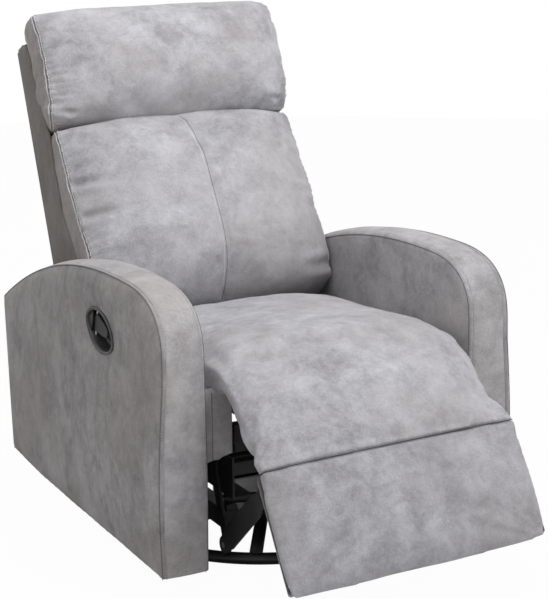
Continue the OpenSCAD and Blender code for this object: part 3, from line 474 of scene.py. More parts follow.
@dataclass(frozen=True)
class PlyFinish:
    """Raw or stained board with rings, pores and ply lines.

    Attributes:
        name: Name of the material.
        early: Pale tone of the grain.
        late: Dark tone of the grain.
    """

    name: str
    early: Triple
    late: Triple

    def build(self) -> bpy.types.Material:
        """Return the material."""
        g = NodeGraph(bpy.data.materials.new(self.name))
        place = g.coordinates(scale=(6.0, 0.7, 6.0))
        bands = g.ramp(g.cloud(9.0, 5.0, 0.6, 1.2, place), 0.3, 0.7)
        pores = g.cloud(600.0, 2.0, 0.6, 0.0, g.coordinates(scale=(1.0, 0.08, 1.0)))
        plies = g.add("ShaderNodeTexWave", {"wave_type": "BANDS", "bands_direction": "X"}, {
            "Vector": g.coordinates(), "Scale": 105.0, "Distortion": 0.4, "Detail": 2.0}, "Fac")
        colour = g.blend(bands, self.late, self.early)
        colour = g.blend(g.ramp(plies, 0.45, 0.55) * 0.25, colour, self.late)
        return g.finish(Base_Color=colour, Roughness=0.62 + pores * 0.2, Normal=g.bump(pores, 0.0002),
                        Specular_IOR_Level=0.3)


@dataclass(frozen=True)
class WebbingFinish:
    """Woven elastic strap: fine ribs across its width and a stripe along its edges.

    Attributes:
        name: Name of the material.
        tone: Colour of the yarn.
    """

    name: str
    tone: Triple

    def build(self) -> bpy.types.Material:
        """Return the material."""
        g = NodeGraph(bpy.data.materials.new(self.name))
        place = g.coordinates()
        warp = g.add("ShaderNodeTexWave", {"wave_type": "BANDS", "bands_direction": "X"}, {
            "Vector": place, "Scale": 160.0, "Distortion": 0.6, "Detail": 1.0}, "Fac")
        weft = g.add("ShaderNodeTexWave", {"wave_type": "BANDS", "bands_direction": "Z"}, {
            "Vector": place, "Scale": 120.0, "Distortion": 0.3, "Detail": 1.0}, "Fac")
        yarn = warp * weft
        colour = g.blend(g.ramp(yarn, 0.0, 1.0), tuple(c * 0.55 for c in self.tone), self.tone)
        return g.finish(Base_Color=colour, Roughness=0.9, Normal=g.bump(yarn, 0.0004), Specular_IOR_Level=0.2)


@dataclass(frozen=True)
class ThreadFinish:
    """Twisted sewing thread.

    Attributes:
        name: Name of the material.
        tone: Colour of the thread.
    """

    name: str
    tone: Triple

    def build(self) -> bpy.types.Material:
        """Return the material."""
        g = NodeGraph(bpy.data.materials.new(self.name))
        twist = g.cloud(2600.0, 1.0, 0.5)
        colour = g.blend(g.ramp(twist, 0.3, 0.7), tuple(c * 0.8 for c in self.tone), self.tone)
        return g.finish(Base_Color=colour, Roughness=0.62, Normal=g.bump(twist, 0.0001), Specular_IOR_Level=0.3)


@dataclass(frozen=True)
class Palette:
    """Every finish on the chair, built once."""

    suede: SuedeFinish = SuedeFinish("suede", (0.562, 0.558, 0.598), (0.236, 0.229, 0.243))
    # Darker copy of the seat's microfibre for the footrest pad: painted shade for the light that falls off low down
    # near the floor.
    suede_foot_shaded: SuedeFinish = SuedeFinish("suede_foot_shaded", (0.500, 0.497, 0.536), (0.206, 0.200, 0.214))
    # Darker, streaked copy of the microfibre for the arms' outer panels, the footrest board's wrap and the edge
    # nodes: the darker tone is painted shade on these side faces, and the streaked nap is the cloth's own.
    suede_side_shaded: SuedeFinish = SuedeFinish("suede_side_shaded", (0.435, 0.420, 0.424), (0.160, 0.154, 0.156),
                                          Nap.STREAKED, 1.2)
    suede_band: SuedeFinish = SuedeFinish("suede_band", (0.535, 0.52, 0.54), (0.235, 0.228, 0.234))
    suede_back: SuedeFinish = SuedeFinish("suede_back", (0.275, 0.25, 0.24), (0.105, 0.095, 0.090), Nap.STREAKED)
    # Darker, warmer copy of the microfibre for the cushions' side boxing: its darker tone is painted shade on the
    # side faces.
    suede_boxing_shaded: SuedeFinish = SuedeFinish("suede_boxing_shaded", (0.48, 0.455, 0.455), (0.21, 0.20, 0.197))
    lining: CoatFinish = CoatFinish("lining_cloth", (0.022, 0.021, 0.020), 0.90, 0.0003, 0.0, 1100.0)
    black_steel: CoatFinish = CoatFinish("black_steel", (0.006, 0.006, 0.0065), 0.42)
    grey_steel: CoatFinish = CoatFinish("grey_steel", (0.018, 0.018, 0.019), 0.44)
    plated: BrushedFinish = BrushedFinish("plated_steel", (0.52, 0.52, 0.53))
    spring: BrushedFinish = BrushedFinish("spring_steel", (0.14, 0.14, 0.15), 0.42)
    ply: PlyFinish = PlyFinish("plywood", (0.62, 0.46, 0.28), (0.42, 0.28, 0.15))
    board: PlyFinish = PlyFinish("stained_board", (0.05, 0.048, 0.046), (0.02, 0.019, 0.018))
    moulding: CoatFinish = CoatFinish("black_moulding", (0.022, 0.022, 0.023), 0.40, 0.00004, 0.0, 1400.0)
    paddle: CoatFinish = CoatFinish("black_paddle", (0.026, 0.024, 0.0235), 0.62, 0.00006, 0.0, 1400.0)
    nylon: CoatFinish = CoatFinish("black_nylon", (0.03, 0.03, 0.031), 0.55)
    sheath: CoatFinish = CoatFinish("cable_sheath", (0.02, 0.02, 0.02), 0.6)
    webbing: WebbingFinish = WebbingFinish("elastic_webbing", (0.35, 0.30, 0.24))
    thread: ThreadFinish = ThreadFinish("pale_thread", (0.74, 0.73, 0.73))
    thread_grey: ThreadFinish = ThreadFinish("grey_thread", (0.50, 0.49, 0.50))
    # Pale cord colour for the turned edges beside the cushions' seams and along their rear edges: a painted highlight
    # on the crest of each edge.
    fold: ThreadFinish = ThreadFinish("turned_edge_highlight", (0.62, 0.605, 0.61))
    # Dark cords laid in the seams and joints, in two depths of tone: painted shade for the shadow in these grooves.
    shade_cord_dark: ThreadFinish = ThreadFinish("painted_shade_dark", (0.085, 0.083, 0.087))
    shade_cord_mid: ThreadFinish = ThreadFinish("painted_shade_mid", (0.15, 0.146, 0.148))


class Finishes:
    """Builds a finish the first time that a piece asks for it."""

    def __init__(self) -> None:
        """Start with none built."""
        self.built: dict[str, bpy.types.Material] = {}

    def of(self, finish: Any) -> bpy.types.Material:
        """Return the material of a finish."""
        if finish.name not in self.built:
            self.built[finish.name] = finish.build()
        return self.built[finish.name]


PALETTE = Palette()
FINISHES = Finishes()


def paint(obj: bpy.types.Object, finish: Any) -> None:
    """Give an object one finish all over."""
    obj.data.materials.clear()
    obj.data.materials.append(FINISHES.of(finish))


def fit_out(body: str, pieces: Iterable[bpy.types.Object]) -> None:
    """Let finished pieces ride on a body."""
    for piece in pieces:
        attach(piece, body)


# Geometry Nodes


class PathTree:
    """A Geometry Nodes tree that turns a curve into repeated or swept geometry."""

    def __init__(self, name: str, sizes: dict[str, float]) -> None:
        """Start a tree with a geometry input, a material input and named sizes.

        Args:
            name: Name of the tree.
            sizes: Name and default of each size, in metres.
        """
        self.tree = bpy.data.node_groups.new(name, "GeometryNodeTree")
        face = self.tree.interface
        face.new_socket("Path", in_out="INPUT", socket_type="NodeSocketGeometry")
        for label, value in sizes.items():
            socket = face.new_socket(label, in_out="INPUT", socket_type="NodeSocketFloat")
            socket.default_value = value
        face.new_socket("Finish", in_out="INPUT", socket_type="NodeSocketMaterial")
        face.new_socket("Result", in_out="OUTPUT", socket_type="NodeSocketGeometry")
        self.entry = self.tree.nodes.new("NodeGroupInput")
        self.exit = self.tree.nodes.new("NodeGroupOutput")

    def add(self, kind: str, settings: dict[str, Any] | None = None,
            inputs: dict[int | str, Any] | None = None) -> bpy.types.Node:
        """Add a node with its settings and its inputs' values or links."""
        node = self.tree.nodes.new(kind)
        for key, value in (settings or {}).items():
            setattr(node, key, value)
        for key, value in (inputs or {}).items():
            if isinstance(value, bpy.types.NodeSocket):
                self.tree.links.new(value, node.inputs[key])
            else:
                node.inputs[key].default_value = value
        return node

    def size(self, label: str) -> bpy.types.NodeSocket:
        """Return the group input of that name."""
        return self.entry.outputs[label]

    def close(self, geometry: bpy.types.NodeSocket) -> None:
        """Realize the instances, set the finish and lead to the output."""
        real = self.add("GeometryNodeRealizeInstances", {}, {0: geometry})
        flat = self.add("GeometryNodeSetShadeSmooth", {}, {0: real.outputs[0]})
        painted = self.add("GeometryNodeSetMaterial", {}, {0: flat.outputs[0], "Material": self.size("Finish")})
        self.tree.links.new(painted.outputs[0], self.exit.inputs[0])

    def run(self, name: str, paths: Sequence[Sequence[Vector]], finish: Any, closed: bool = False,
            **sizes: float) -> bpy.types.Object:
        """Run the tree along paths and return a plain mesh object.

        Args:
            name: Name of the piece.
            paths: Points of each path, in metres.
            finish: Finish of the result.
            closed: Whether each path is a closed loop.
            **sizes: Sizes by input name, blanks as underscores.

        Returns:
            The new object.
        """
        curve = bpy.data.curves.new(name + "_path", "CURVE")
        curve.dimensions = "3D"
        for points in paths:
            spline = curve.splines.new("POLY")
            spline.points.add(len(points) - 1)
            spline.use_cyclic_u = closed
            for target, p in zip(spline.points, points):
                target.co = (p[0], p[1], p[2], 1.0)
        holder = bpy.data.objects.new(name + "_path", curve)
        bpy.context.scene.collection.objects.link(holder)
        modifier = holder.modifiers.new("along", "NODES")
        modifier.node_group = self.tree
        names = {item.name: item.identifier for item in self.tree.interface.items_tree
                 if item.in_out == "INPUT"}
        for label, value in sizes.items():
            modifier[names[label.replace("_", " ")]] = value
        modifier[names["Finish"]] = FINISHES.of(finish)
        evaluated = holder.evaluated_get(bpy.context.evaluated_depsgraph_get())
        mesh = bpy.data.meshes.new_from_object(evaluated)
        holder.modifiers.clear()
        bpy.data.objects.remove(holder)
        bpy.data.curves.remove(curve)
        return new_object(name, mesh)


def stitch_tree() -> PathTree:
    """Return the tree that lays short stitches end to end along a seam."""
    t = PathTree("stitch row", {"Pitch": 0.005, "Stitch": 0.0036, "Thread": 0.0006})
    dots = t.add("GeometryNodeCurveToPoints", {"mode": "LENGTH"}, {
        "Curve": t.entry.outputs["Path"], "Length": t.size("Pitch")})
    bead = t.add("GeometryNodeMeshUVSphere", {}, {"Segments": 6, "Rings": 5, "Radius": 0.5})
    wobble = t.add("FunctionNodeRandomValue", {"data_type": "FLOAT"}, {"Min": 0.88, "Max": 1.06, "Seed": 7})
    long = t.add("ShaderNodeMath", {"operation": "MULTIPLY"}, {0: t.size("Stitch"), 1: wobble.outputs[1]})
    wide = t.add("ShaderNodeMath", {"operation": "MULTIPLY"}, {0: t.size("Thread"), 1: 2.0})
    box = t.add("ShaderNodeCombineXYZ", {}, {0: wide.outputs[0], 1: wide.outputs[0], 2: long.outputs[0]})
    laid = t.add("GeometryNodeInstanceOnPoints", {}, {
        "Points": dots.outputs["Points"], "Instance": bead.outputs["Mesh"], "Rotation": dots.outputs["Rotation"],
        "Scale": box.outputs[0]})
    t.close(laid.outputs[0])
    return t


def cord_tree() -> PathTree:
    """Return the tree that sweeps a round welt or sheath along a path."""
    t = PathTree("welt", {"Thickness": 0.002})
    ring = t.add("GeometryNodeCurvePrimitiveCircle", {}, {"Resolution": 8, "Radius": t.size("Thickness")})
    swept = t.add("GeometryNodeCurveToMesh", {}, {
        "Curve": t.entry.outputs["Path"], "Profile Curve": ring.outputs[0], "Fill Caps": True})
    t.close(swept.outputs[0])
    return t


# Upholstery


@dataclass
class Seam:
    """A sewn line on a soft piece.

    Attributes:
        points: Points along the line, in metres.
        depth: How far the cover is drawn in at the line.
        reach: How far from the line the cover is drawn in.
        gather: Height of the small gathers that run off the line.
        gather_pitch: Distance between two gathers.
        gather_reach: Length of the gathers.
        ridge: Height of the turned-in cloth beside the line.
    """

    points: Sequence[Vector]
    depth: float = 0.0035
    reach: float = 0.006
    gather: float = 0.0
    gather_pitch: float = 0.011
    gather_reach: float = 0.03
    ridge: float = 0.0


class Upholsterer:
    """Turns rough forms into stuffed, sewn and creased ones."""

    CLOTH = {"quality": 4, "mass": 0.3, "tension_stiffness": 12, "compression_stiffness": 12, "shear_stiffness": 4,
             "bending_stiffness": 0.6, "use_pressure": True, "uniform_pressure_force": 4.0,
             "vertex_group_mass": "held", "pin_stiffness": 1.0}
    STEPS = 20
    PITCH = 0.004

    def __init__(self) -> None:
        """Make the trees for stitches and welts."""
        self.stitches = stitch_tree()
        self.welts = cord_tree()

    def plump(self, obj: bpy.types.Object, voxel: float, cap: float, held: Callable[[Vector], float]) -> None:
        """Stuff a form: remesh it evenly and blow its cover up as cloth.

        Args:
            obj: Closed form to stuff.
            voxel: Size of the even mesh's faces.
            cap: Farthest that a point may move.
            held: Returns how firmly a point is held, 0 to 1.
        """
        remesh = obj.modifiers.new("even", "REMESH")
        remesh.mode = "VOXEL"
        remesh.voxel_size = voxel
        apply_modifiers(obj)
        start = [v.co.copy() for v in obj.data.vertices]
        group = obj.vertex_groups.new(name="held")
        for v in obj.data.vertices:
            weight = held(v.co)
            if weight > 0:
                group.add([v.index], weight, "REPLACE")
        cloth = obj.modifiers.new("stuffing", "CLOTH")
        for key, value in self.CLOTH.items():
            setattr(cloth.settings, key, value)
        cloth.settings.effector_weights.gravity = 0
        cloth.point_cache.frame_start = 1
        cloth.point_cache.frame_end = self.STEPS
        scene = bpy.context.scene
        for step in range(1, self.STEPS + 1):
            scene.frame_set(step)
        evaluated = obj.evaluated_get(bpy.context.evaluated_depsgraph_get())
        moved = [v.co.copy() for v in evaluated.data.vertices]
        obj.modifiers.clear()
        obj.vertex_groups.clear()
        scene.frame_set(1)
        for v, a, b in zip(obj.data.vertices, start, moved):
            step_out = b - a
            if step_out.length > cap:
                step_out = step_out * (cap / step_out.length)
            v.co = a + step_out
        self.relax(obj)

    def relax(self, obj: bpy.types.Object) -> None:
        """Even out a mesh a little, as foam under a cover does."""
        work = bmesh.new()
        work.from_mesh(obj.data)
        for _ in range(2):
            bmesh.ops.smooth_vert(work, verts=work.verts, factor=0.5, use_axis_x=True, use_axis_y=True,
                                  use_axis_z=True)
        work.to_mesh(obj.data)
        work.free()

    def shift(self, obj: bpy.types.Object, move: Callable[[Vector, Vector], Vector]) -> None:
        """Move each point of a cover by what a function makes of its place and its normal."""
        obj.data.update()
        normals = [v.normal.copy() for v in obj.data.vertices]
        for v, normal in zip(obj.data.vertices, normals):
            v.co += move(v.co, normal)

    def sew(self, obj: bpy.types.Object, seams: Sequence[Seam]) -> None:
        """Draw the cover in at its seams, with gathers running off them."""
        trees: list[tuple[Seam, kdtree.KDTree, list[float], float]] = []
        for seam in seams:
            dots = resample(seam.points, 0.002)
            tree = kdtree.KDTree(len(dots))
            lengths = [0.0]
            for i, p in enumerate(dots):
                tree.insert(p, i)
                if i:
                    lengths.append(lengths[-1] + (p - dots[i - 1]).length)
            tree.balance()
            trees.append((seam, tree, lengths, max(seam.reach * 3.5, seam.gather_reach * 2 if seam.gather else 0)))

        def draw_in(p: Vector, normal: Vector) -> Vector:
            """Return how the seams move one point."""
            rise = 0.0
            for seam, tree, lengths, limit in trees:
                _, index, far = tree.find(p)
                if far > limit:
                    continue
                rise -= seam.depth * math.exp(-(far / seam.reach) ** 2)
                if seam.ridge:
                    rise += seam.ridge * math.exp(-((far - seam.reach * 1.5) / (seam.reach * 0.8)) ** 2)
                if seam.gather:
                    phase = lengths[index] / seam.gather_pitch * 2 * math.pi
                    phase += 1.7 * noise.noise(p * 23.0)
                    strength = 0.55 + 0.9 * noise.noise(p * 9.0 + Vector((3.1, 0.4, 1.2)))
                    rise += seam.gather * max(0.0, strength) * math.sin(phase) * math.exp(-far / seam.gather_reach)
            return normal * rise
        self.shift(obj, draw_in)

    def crease(self, obj: bpy.types.Object, height: float, scale: float, stretch: Triple = (1, 1, 1),
               where: Callable[[Vector], float] | None = None) -> None:
        """Add soft hollows and folds over a cover.

        Args:
            obj: Soft piece.
            height: Height of the folds.
            scale: Folds to the metre.
            stretch: Scale of the pattern along each axis.
            where: Returns a share for each point, or None for all over.
        """
        def fold(spot: Vector, normal: Vector) -> Vector:
            """Return how the folds move one point."""
            share = where(spot) if where else 1.0
            if share <= 0:
                return Vector()
            p = Vector((spot.x * stretch[0], spot.y * stretch[1], spot.z * stretch[2])) * scale
            return normal * height * share * (noise.noise(p) + 0.5 * noise.noise(p * 2.1 + Vector((5.2, 1.3, 0.7))))
        self.shift(obj, fold)

    def tuck(self, obj: bpy.types.Object, a: Vector, b: Vector, depth: float, width: float) -> None:
        """Press one crease into a cover between two points, fading at its far end."""
        span = b - a

        def press(p: Vector, normal: Vector) -> Vector:
            """Return how the crease and the lips beside it move one point."""
            along = max(0.0, min(1.0, (p - a).dot(span) / span.length_squared))
            far = (p - (a + span * along)).length
            if far > width * 4:
                return Vector()
            fade = (1 - along) ** 0.7
            return normal * fade * (-depth * math.exp(-(far / width) ** 2)
                                    + depth * 0.55 * math.exp(-((far - 1.9 * width) / width) ** 2))
        self.shift(obj, press)

    def on_surface(self, obj: bpy.types.Object, points: Sequence[Vector], lift: float,
                   toward: Vector | None = None) -> list[Vector]:
        """Return the points moved onto a surface and lifted off it.

        Args:
            obj: Soft piece.
            points: Points near its surface.
            lift: Height over the surface.
            toward: Direction in which the points are pressed on, or None for the nearest place.

        Returns:
            The moved points.
        """
        work = bmesh.new()
        work.from_mesh(obj.data)
        tree = BVHTree.FromBMesh(work)
        work.free()
        result = []
        for p in points:
            if toward:
                spot = tree.ray_cast(p - toward * 0.06, toward)[0]
                result.append((spot or p) - toward * lift)
            else:
                spot, normal, _, _ = tree.find_nearest(p)
                result.append(spot + normal * lift)
        return result

    def topstitch(self, name: str, obj: bpy.types.Object, seam: Sequence[Vector], offset: Vector, finish: Any,
                  pitch: float, stitch: float, thread: float, lift: float) -> bpy.types.Object:
        """Sew a row of stitches beside a seam.

        Args:
            name: Name of the piece.
            obj: Soft piece that is sewn.
            seam: Points along the seam.
            offset: How far the row lies from the seam.
            finish: Finish of the thread.
            pitch: Distance between two stitches.
            stitch: Length of a stitch.
            thread: Radius of the thread.
            lift: Height of the thread's middle over the cover.

        Returns:
            The row.
        """
        row = self.on_surface(obj, resample([p + offset for p in seam], self.PITCH), lift)
        return self.stitches.run(name, [row], finish, Pitch=pitch, Stitch=stitch, Thread=thread)

    def welt(self, name: str, obj: bpy.types.Object, line: Sequence[Vector], lift: float, finish: Any,
             thickness: float) -> bpy.types.Object:
        """Lay a thin round line on a cover.

        Args:
            name: Name of the piece.
            obj: Soft piece that it lies on.
            line: Points near the cover.
            lift: Height of the line's middle over the cover.
            finish: Finish of the line.
            thickness: Radius of the line.

        Returns:
            The new object.
        """
        return self.welts.run(name, [self.on_surface(obj, line, lift)], finish, Thickness=thickness)


# Chair parts


@dataclass
class ArmDress:
    """Upholstery of one track arm: two panels, a crowned band and the sewn lines between them."""

    side: int
    name: str
    width: float = 0.090
    flare: float = 0.012
    height: float = 0.577
    depth: float = 0.892
    shoulder: float = 0.439
    crest: float = 0.194
    rear_height: float = 0.399
    rear_lean: float = 0.047
    gap: float = 0.039
    ring_lift: float = 0.006
    rear_lift: float = 0.012
    rear_run: float = 0.180
    outer_panel: float = 0.014
    inner_panel: float = 0.008
    band_depth: float = 0.018
    outer_seam: float = 0.0052
    inner_seam: float = 0.0012
    row_inset: float = 0.0072
    gather_pitch: float = 0.0052
    path: list[Vector] = field(default_factory=list)
    normals: list[Vector] = field(default_factory=list)

    # Distance from the seam and how far the panel then stands out of the arm's plain face
    OUTER_ROLL = ((0.0, -0.0060), (0.0015, -0.0046), (0.0040, -0.0028), (0.0080, -0.0006), (0.0150, 0.0021),
                  (0.0260, 0.0050), (0.0420, 0.0076), (0.0650, 0.0095), (0.1000, 0.0104), (0.1500, 0.0100))
    INNER_ROLL = ((0.0, -0.0026), (0.0010, -0.0014), (0.0030, -0.0004), (0.0070, 0.0), (0.1500, 0.0))
    # Distances from a seam of the band's points, and of the rings of a panel
    STATIONS = (0.0, 0.0005, 0.0012, 0.0021, 0.0032, 0.0044, 0.0056, 0.0066, 0.0074, 0.0084, 0.0100, 0.0125, 0.016,
                0.021, 0.028)
    PANEL_RINGS = (0.0, 0.0012, 0.0028, 0.0050, 0.0080, 0.0125, 0.019, 0.028, 0.040, 0.060, 0.085, 0.115, 0.15,
                   0.19, 0.235, 0.28)
    # Ends of the line that a panel's rings shrink onto, behind the arm's front, and the depth of its even rings
    SPINE = ((0.26, 0.30), (0.60, 0.235))
    EVEN_RINGS = 0.04
    CREST_POWER = 2 / 2.8
    REAR_POWER = 2.2

    def outline(self, pitch: float) -> None:
        """Lay out the arm's outline from its front foot over the crest to its rear foot."""
        raw: list[Vector] = []

        def put(y: float, z: float) -> None:
            """Add one point in the plane x = 0."""
            raw.append(Vector((0.0, FRONT_Y + y, z)))
        for t in shares(20)[:-1]:
            put(0.0, mix(self.gap, self.shoulder, t))
        for i in range(60):
            a = math.radians(90 * i / 60)
            put(self.crest * (1 - math.cos(a) ** self.CREST_POWER),
                self.shoulder + (self.height - self.shoulder) * math.sin(a) ** self.CREST_POWER)
        for t in shares(40):
            s = t * 0.996
            put(mix(self.crest, self.depth, s), self.height - (self.height - self.rear_height) * s ** self.REAR_POWER)
        top = (self.depth, self.rear_height - 0.004)
        foot = (self.depth - self.rear_lean, self.gap + self.rear_lift)
        for t in shares(20):
            put(*mix_pair(top, foot, t))
        self.path = resample(raw, pitch)
        self.normals = []
        reach = max(1, round(0.004 / pitch))
        for i in range(len(self.path)):
            a, b = self.path[max(i - reach, 0)], self.path[min(i + reach, len(self.path) - 1)]
            t = (b - a).normalized()
            self.normals.append(Vector((0.0, t.z, -t.y)))

    def swell(self, p: Vector, outer: bool) -> float:
        """Return how far the stuffing pushes a face of the arm out at a point."""
        belly = math.sin(math.pi * min(1.0, max(0.0, (p.z - self.gap) / 0.37)))
        behind = max(0.0, p.y - FRONT_Y)
        return 0.0065 * belly * math.exp(-behind / 0.20) if outer else 0.0018 * belly * math.exp(-behind / 0.03)

    def outer_x(self, p: Vector) -> float:
        """Return the outer face's distance from the middle at a point of the outline."""
        spread = self.flare * (self.height - p.z) / (self.height - self.gap)
        return HALF_IN + self.width + spread + self.swell(p, True)

    def place(self, x: float, p: Vector) -> Triple:
        """Return a point of this arm at a distance x from the middle."""
        return (self.side * x, p.y, p.z)

    def dip(self, run: float, p: Vector, edge: float, outer: bool) -> float:
        """Return how far the band lies under its outline near one of its seams.

        Args:
            run: Length along the band.
            p: Point of the outline.
            edge: Distance from the seam.
            outer: Whether it is the outer seam.

        Returns:
            The depth in metres, with the gathers in it.
        """
        tall = 0.0020 if outer else 0.0007
        lip = 0.0032 * math.exp(-edge / 0.0020) if outer else 0.0055 * (1 - fill_out(edge, 0.0060))
        shift = 0.0 if outer else 2.0
        wave = math.sin(run / self.gather_pitch * 2 * math.pi + 1.3 * noise.noise(p * 33.0) + shift)
        steady = max(0.35, 0.85 + 0.8 * noise.noise(p * 13.0 + Vector((shift, 2.0, 0.0))))
        ladder = wave * math.exp(-((edge - 0.0038) / 0.0031) ** 2)
        tail = 0.45 * wave * math.exp(-max(0.0, edge - self.row_inset) / 0.0045) if edge > self.row_inset else 0.0
        pucker = noise.noise(Vector((run * 62.0, edge * 30.0, shift))) * math.exp(-edge / 0.016)
        return (lip + 0.0010 * math.exp(-((edge - self.row_inset) / 0.0012) ** 2)
                - tall * steady * (ladder + tail) - 0.0009 * pucker)

    def band(self) -> bpy.types.Object:
        """Build the crowned band over the front, top and back of the arm."""
        self.outline(0.0013)
        rings = []
        run = 0.0
        for i, (p, n) in enumerate(zip(self.path, self.normals)):
            if i:
                run += (p - self.path[i - 1]).length
            x_in, x_out = HALF_IN + self.inner_seam - self.swell(p, False), self.outer_x(p) - self.outer_seam
            half = (x_out - x_in) / 2
            steps = [*self.STATIONS, mix(self.STATIONS[-1], half, 0.5), half]
            spots = [x_in + e for e in steps] + [x_out - e for e in reversed(steps[:-1])]
            ring = []
            for x in spots:
                u = abs(x - x_in - half) / half
                sag = 0.0030 * u ** 3 + self.dip(run, p, x - x_in, False) + self.dip(run, p, x_out - x, True)
                soft = 0.0013 * noise.noise(Vector((x * 16.0, p.y * 10.0, p.z * 10.0 + 3.0 * self.side)))
                soft += 0.0055 * (1 - u * u) * smooth((p.y - FRONT_Y - 0.06) / 0.16)
                ring.append(self.place(x, p + n * (sag - soft)))
            for x in (x_out, x_in):
                ring.append(self.place(x, p + n * self.band_depth))
            rings.append(ring)
        return loft(self.name + "_arm_band_cover", rings)

    def rim(self, pitch: float, sink: float) -> list[Vector]:
        """Return the closed outline of a side panel, sunk under the arm's own outline."""
        self.outline(pitch)
        rim = [p + n * sink for p, n in zip(self.path, self.normals)]
        low = self.gap + (0.001 if sink < self.ring_lift else self.ring_lift)
        for p in rim:
            p.z = max(p.z, low)
        turn = Vector((0.0, FRONT_Y + self.depth - self.rear_lean - self.rear_run, low))
        for a, b in ((rim[-1].copy(), turn), (turn, rim[0].copy())):
            rim += resample([a, b], pitch)[1:]
        return rim[:-1]

    def panel(self, name: str, outer: bool) -> bpy.types.Object:
        """Build a padded side panel that rolls into its sewn edge.

        Args:
            name: Name of the piece.
            outer: Whether it is the arm's outer face.

        Returns:
            The new object.
        """
        sink = 0.0014 if outer else 0.0078
        edge = self.rim(0.0075, sink)
        fine = self.rim(0.0020, sink)
        tree = kdtree.KDTree(len(fine))
        for i, p in enumerate(fine):
            tree.insert(p, i)
        tree.balance()
        front, rear = (Vector((0, FRONT_Y + y, z)) for y, z in self.SPINE)
        span = rear - front
        thick = self.outer_panel if outer else self.inner_panel
        roll = self.OUTER_ROLL if outer else self.INNER_ROLL
        even, last = self.EVEN_RINGS, self.PANEL_RINGS[-1]
        rings = []
        for step in self.PANEL_RINGS:
            ring = []
            for p in edge:
                core = front + span * max(0.0, min(1.0, (p - front).dot(span) / span.length_squared))
                whole = (core - p).length - 0.006
                far = step if step <= even else mix(even, whole, (step - even) / (last - even))
                q = p + (core - p).normalized() * min(far, whole)
                rise = through(roll, tree.find(q)[2])
                rise += 0.0013 * noise.noise(Vector((q.y * 8.0, q.z * 4.0, 1.7 * self.side + (3 if outer else 0))))
                if outer and self.side < 0 and rise > 0:
                    near = math.hypot((q.y - FRONT_Y - HANDLE_BACK) / 0.072, (q.z - HANDLE_UP) / 0.045)
                    rise *= smooth((near - 0.95) / 0.9)
                ring.append(self.place(self.outer_x(q) + rise if outer else HALF_IN - rise - self.swell(q, False), q))
            rings.append(ring)
        n = len(edge)
        points = [p for ring in rings for p in ring]
        faces = [(i * n + j, i * n + (j + 1) % n, (i + 1) * n + (j + 1) % n, (i + 1) * n + j)
                 for i in range(len(rings) - 1) for j in range(n)]
        back = len(points)
        for p in edge:
            points.append(self.place(self.outer_x(p) - thick if outer else HALF_IN + thick, p))
        faces += [(j, (j + 1) % n, back + (j + 1) % n, back + j) for j in range(n)]
        middle = Vector((0, FRONT_Y + 0.43, 0.27))
        points.append(self.place(self.outer_x(middle) - thick if outer else HALF_IN + thick, middle))
        faces += [(back + j, back + (j + 1) % n, len(points) - 1) for j in range(n)]
        return mesh_from(name, points, faces)

    def seam_line(self, outer: bool, inset: float, sink: float) -> list[Vector]:
        """Return a line along a seam of the band.

        Args:
            outer: Whether it is the seam with the outer panel.
            inset: How far inside the band's edge the line runs.
            sink: How deep under the outline it lies.

        Returns:
            The line's points.
        """
        self.outline(0.004)
        line = []
        for p, n in zip(self.path, self.normals):
            q = p + n * sink
            x = self.outer_x(p) - self.outer_seam - inset
            if not outer:
                x = HALF_IN + self.inner_seam + inset - self.swell(p, False)
            line.append(Vector(self.place(x, q)))
        return line

    def build(self, kit: Upholsterer) -> None:
        """Build and dress the whole arm."""
        band = self.band()
        paint(band, PALETTE.suede_band)
        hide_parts(self.name + "_arm_band")
        outer = self.panel(self.name + "_arm_outer_cover", True)
        if self.side < 0:
            self.cut_handle_hole(outer)
        # The outer panel gets the darker copy of the microfibre, which paints in shade.
        paint(outer, PALETTE.suede_side_shaded)
        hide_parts(self.name + "_arm_outer_panel")
        inner = self.panel(self.name + "_arm_inner_cover", False)
        paint(inner, PALETTE.suede_band)
        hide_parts(self.name + "_arm_inner_panel")
        # Dark cords in the seams at both edges of the band: painted shade for the shadow in the seam grooves.
        seams = [self.seam_line(True, -0.0008, 0.0014), self.seam_line(False, -0.0004, 0.0074)]
        welts = kit.welts.run(self.name + "_arm_seam_shade_cord", seams, PALETTE.shade_cord_mid, Thickness=0.0009)
        rows = [kit.topstitch(f"{self.name}_arm_topstitch_{tag}", band,
                              self.seam_line(tag == "outer", self.row_inset, 0), Vector(), PALETTE.thread_grey,
                              self.gather_pitch, 0.0034, 0.0008, 0.0007)
                for tag in ("outer", "inner")]
        fit_out("chassis", (band, outer, inner, welts, *rows))
        log.info("%s arm: %d faces in its band", self.name, len(band.data.polygons))

    def cut_handle_hole(self, panel: bpy.types.Object) -> None:
        """Cut the opening for the release handle's cup through the outer panel."""
        tilt = math.radians(HANDLE_TILT)
        oval = []
        for i in range(48):
            a = 2 * math.pi * i / 48
            y, z = 0.0652 * math.cos(a), 0.0362 * math.sin(a)
            oval.append((FRONT_Y + HANDLE_BACK + y * math.cos(tilt) - z * math.sin(tilt),
                         HANDLE_UP + y * math.sin(tilt) + z * math.cos(tilt)))
        cutter = loft("handle_hole_cutter", [[(-x, *p) for p in oval] for x in (0.34, 0.42)])
        cut = panel.modifiers.new("handle hole", "BOOLEAN")
        cut.operation = "DIFFERENCE"
        cut.solver = "EXACT"
        cut.use_self = True
        cut.object = cutter
        apply_modifiers(panel)
        bpy.data.objects.remove(cutter)


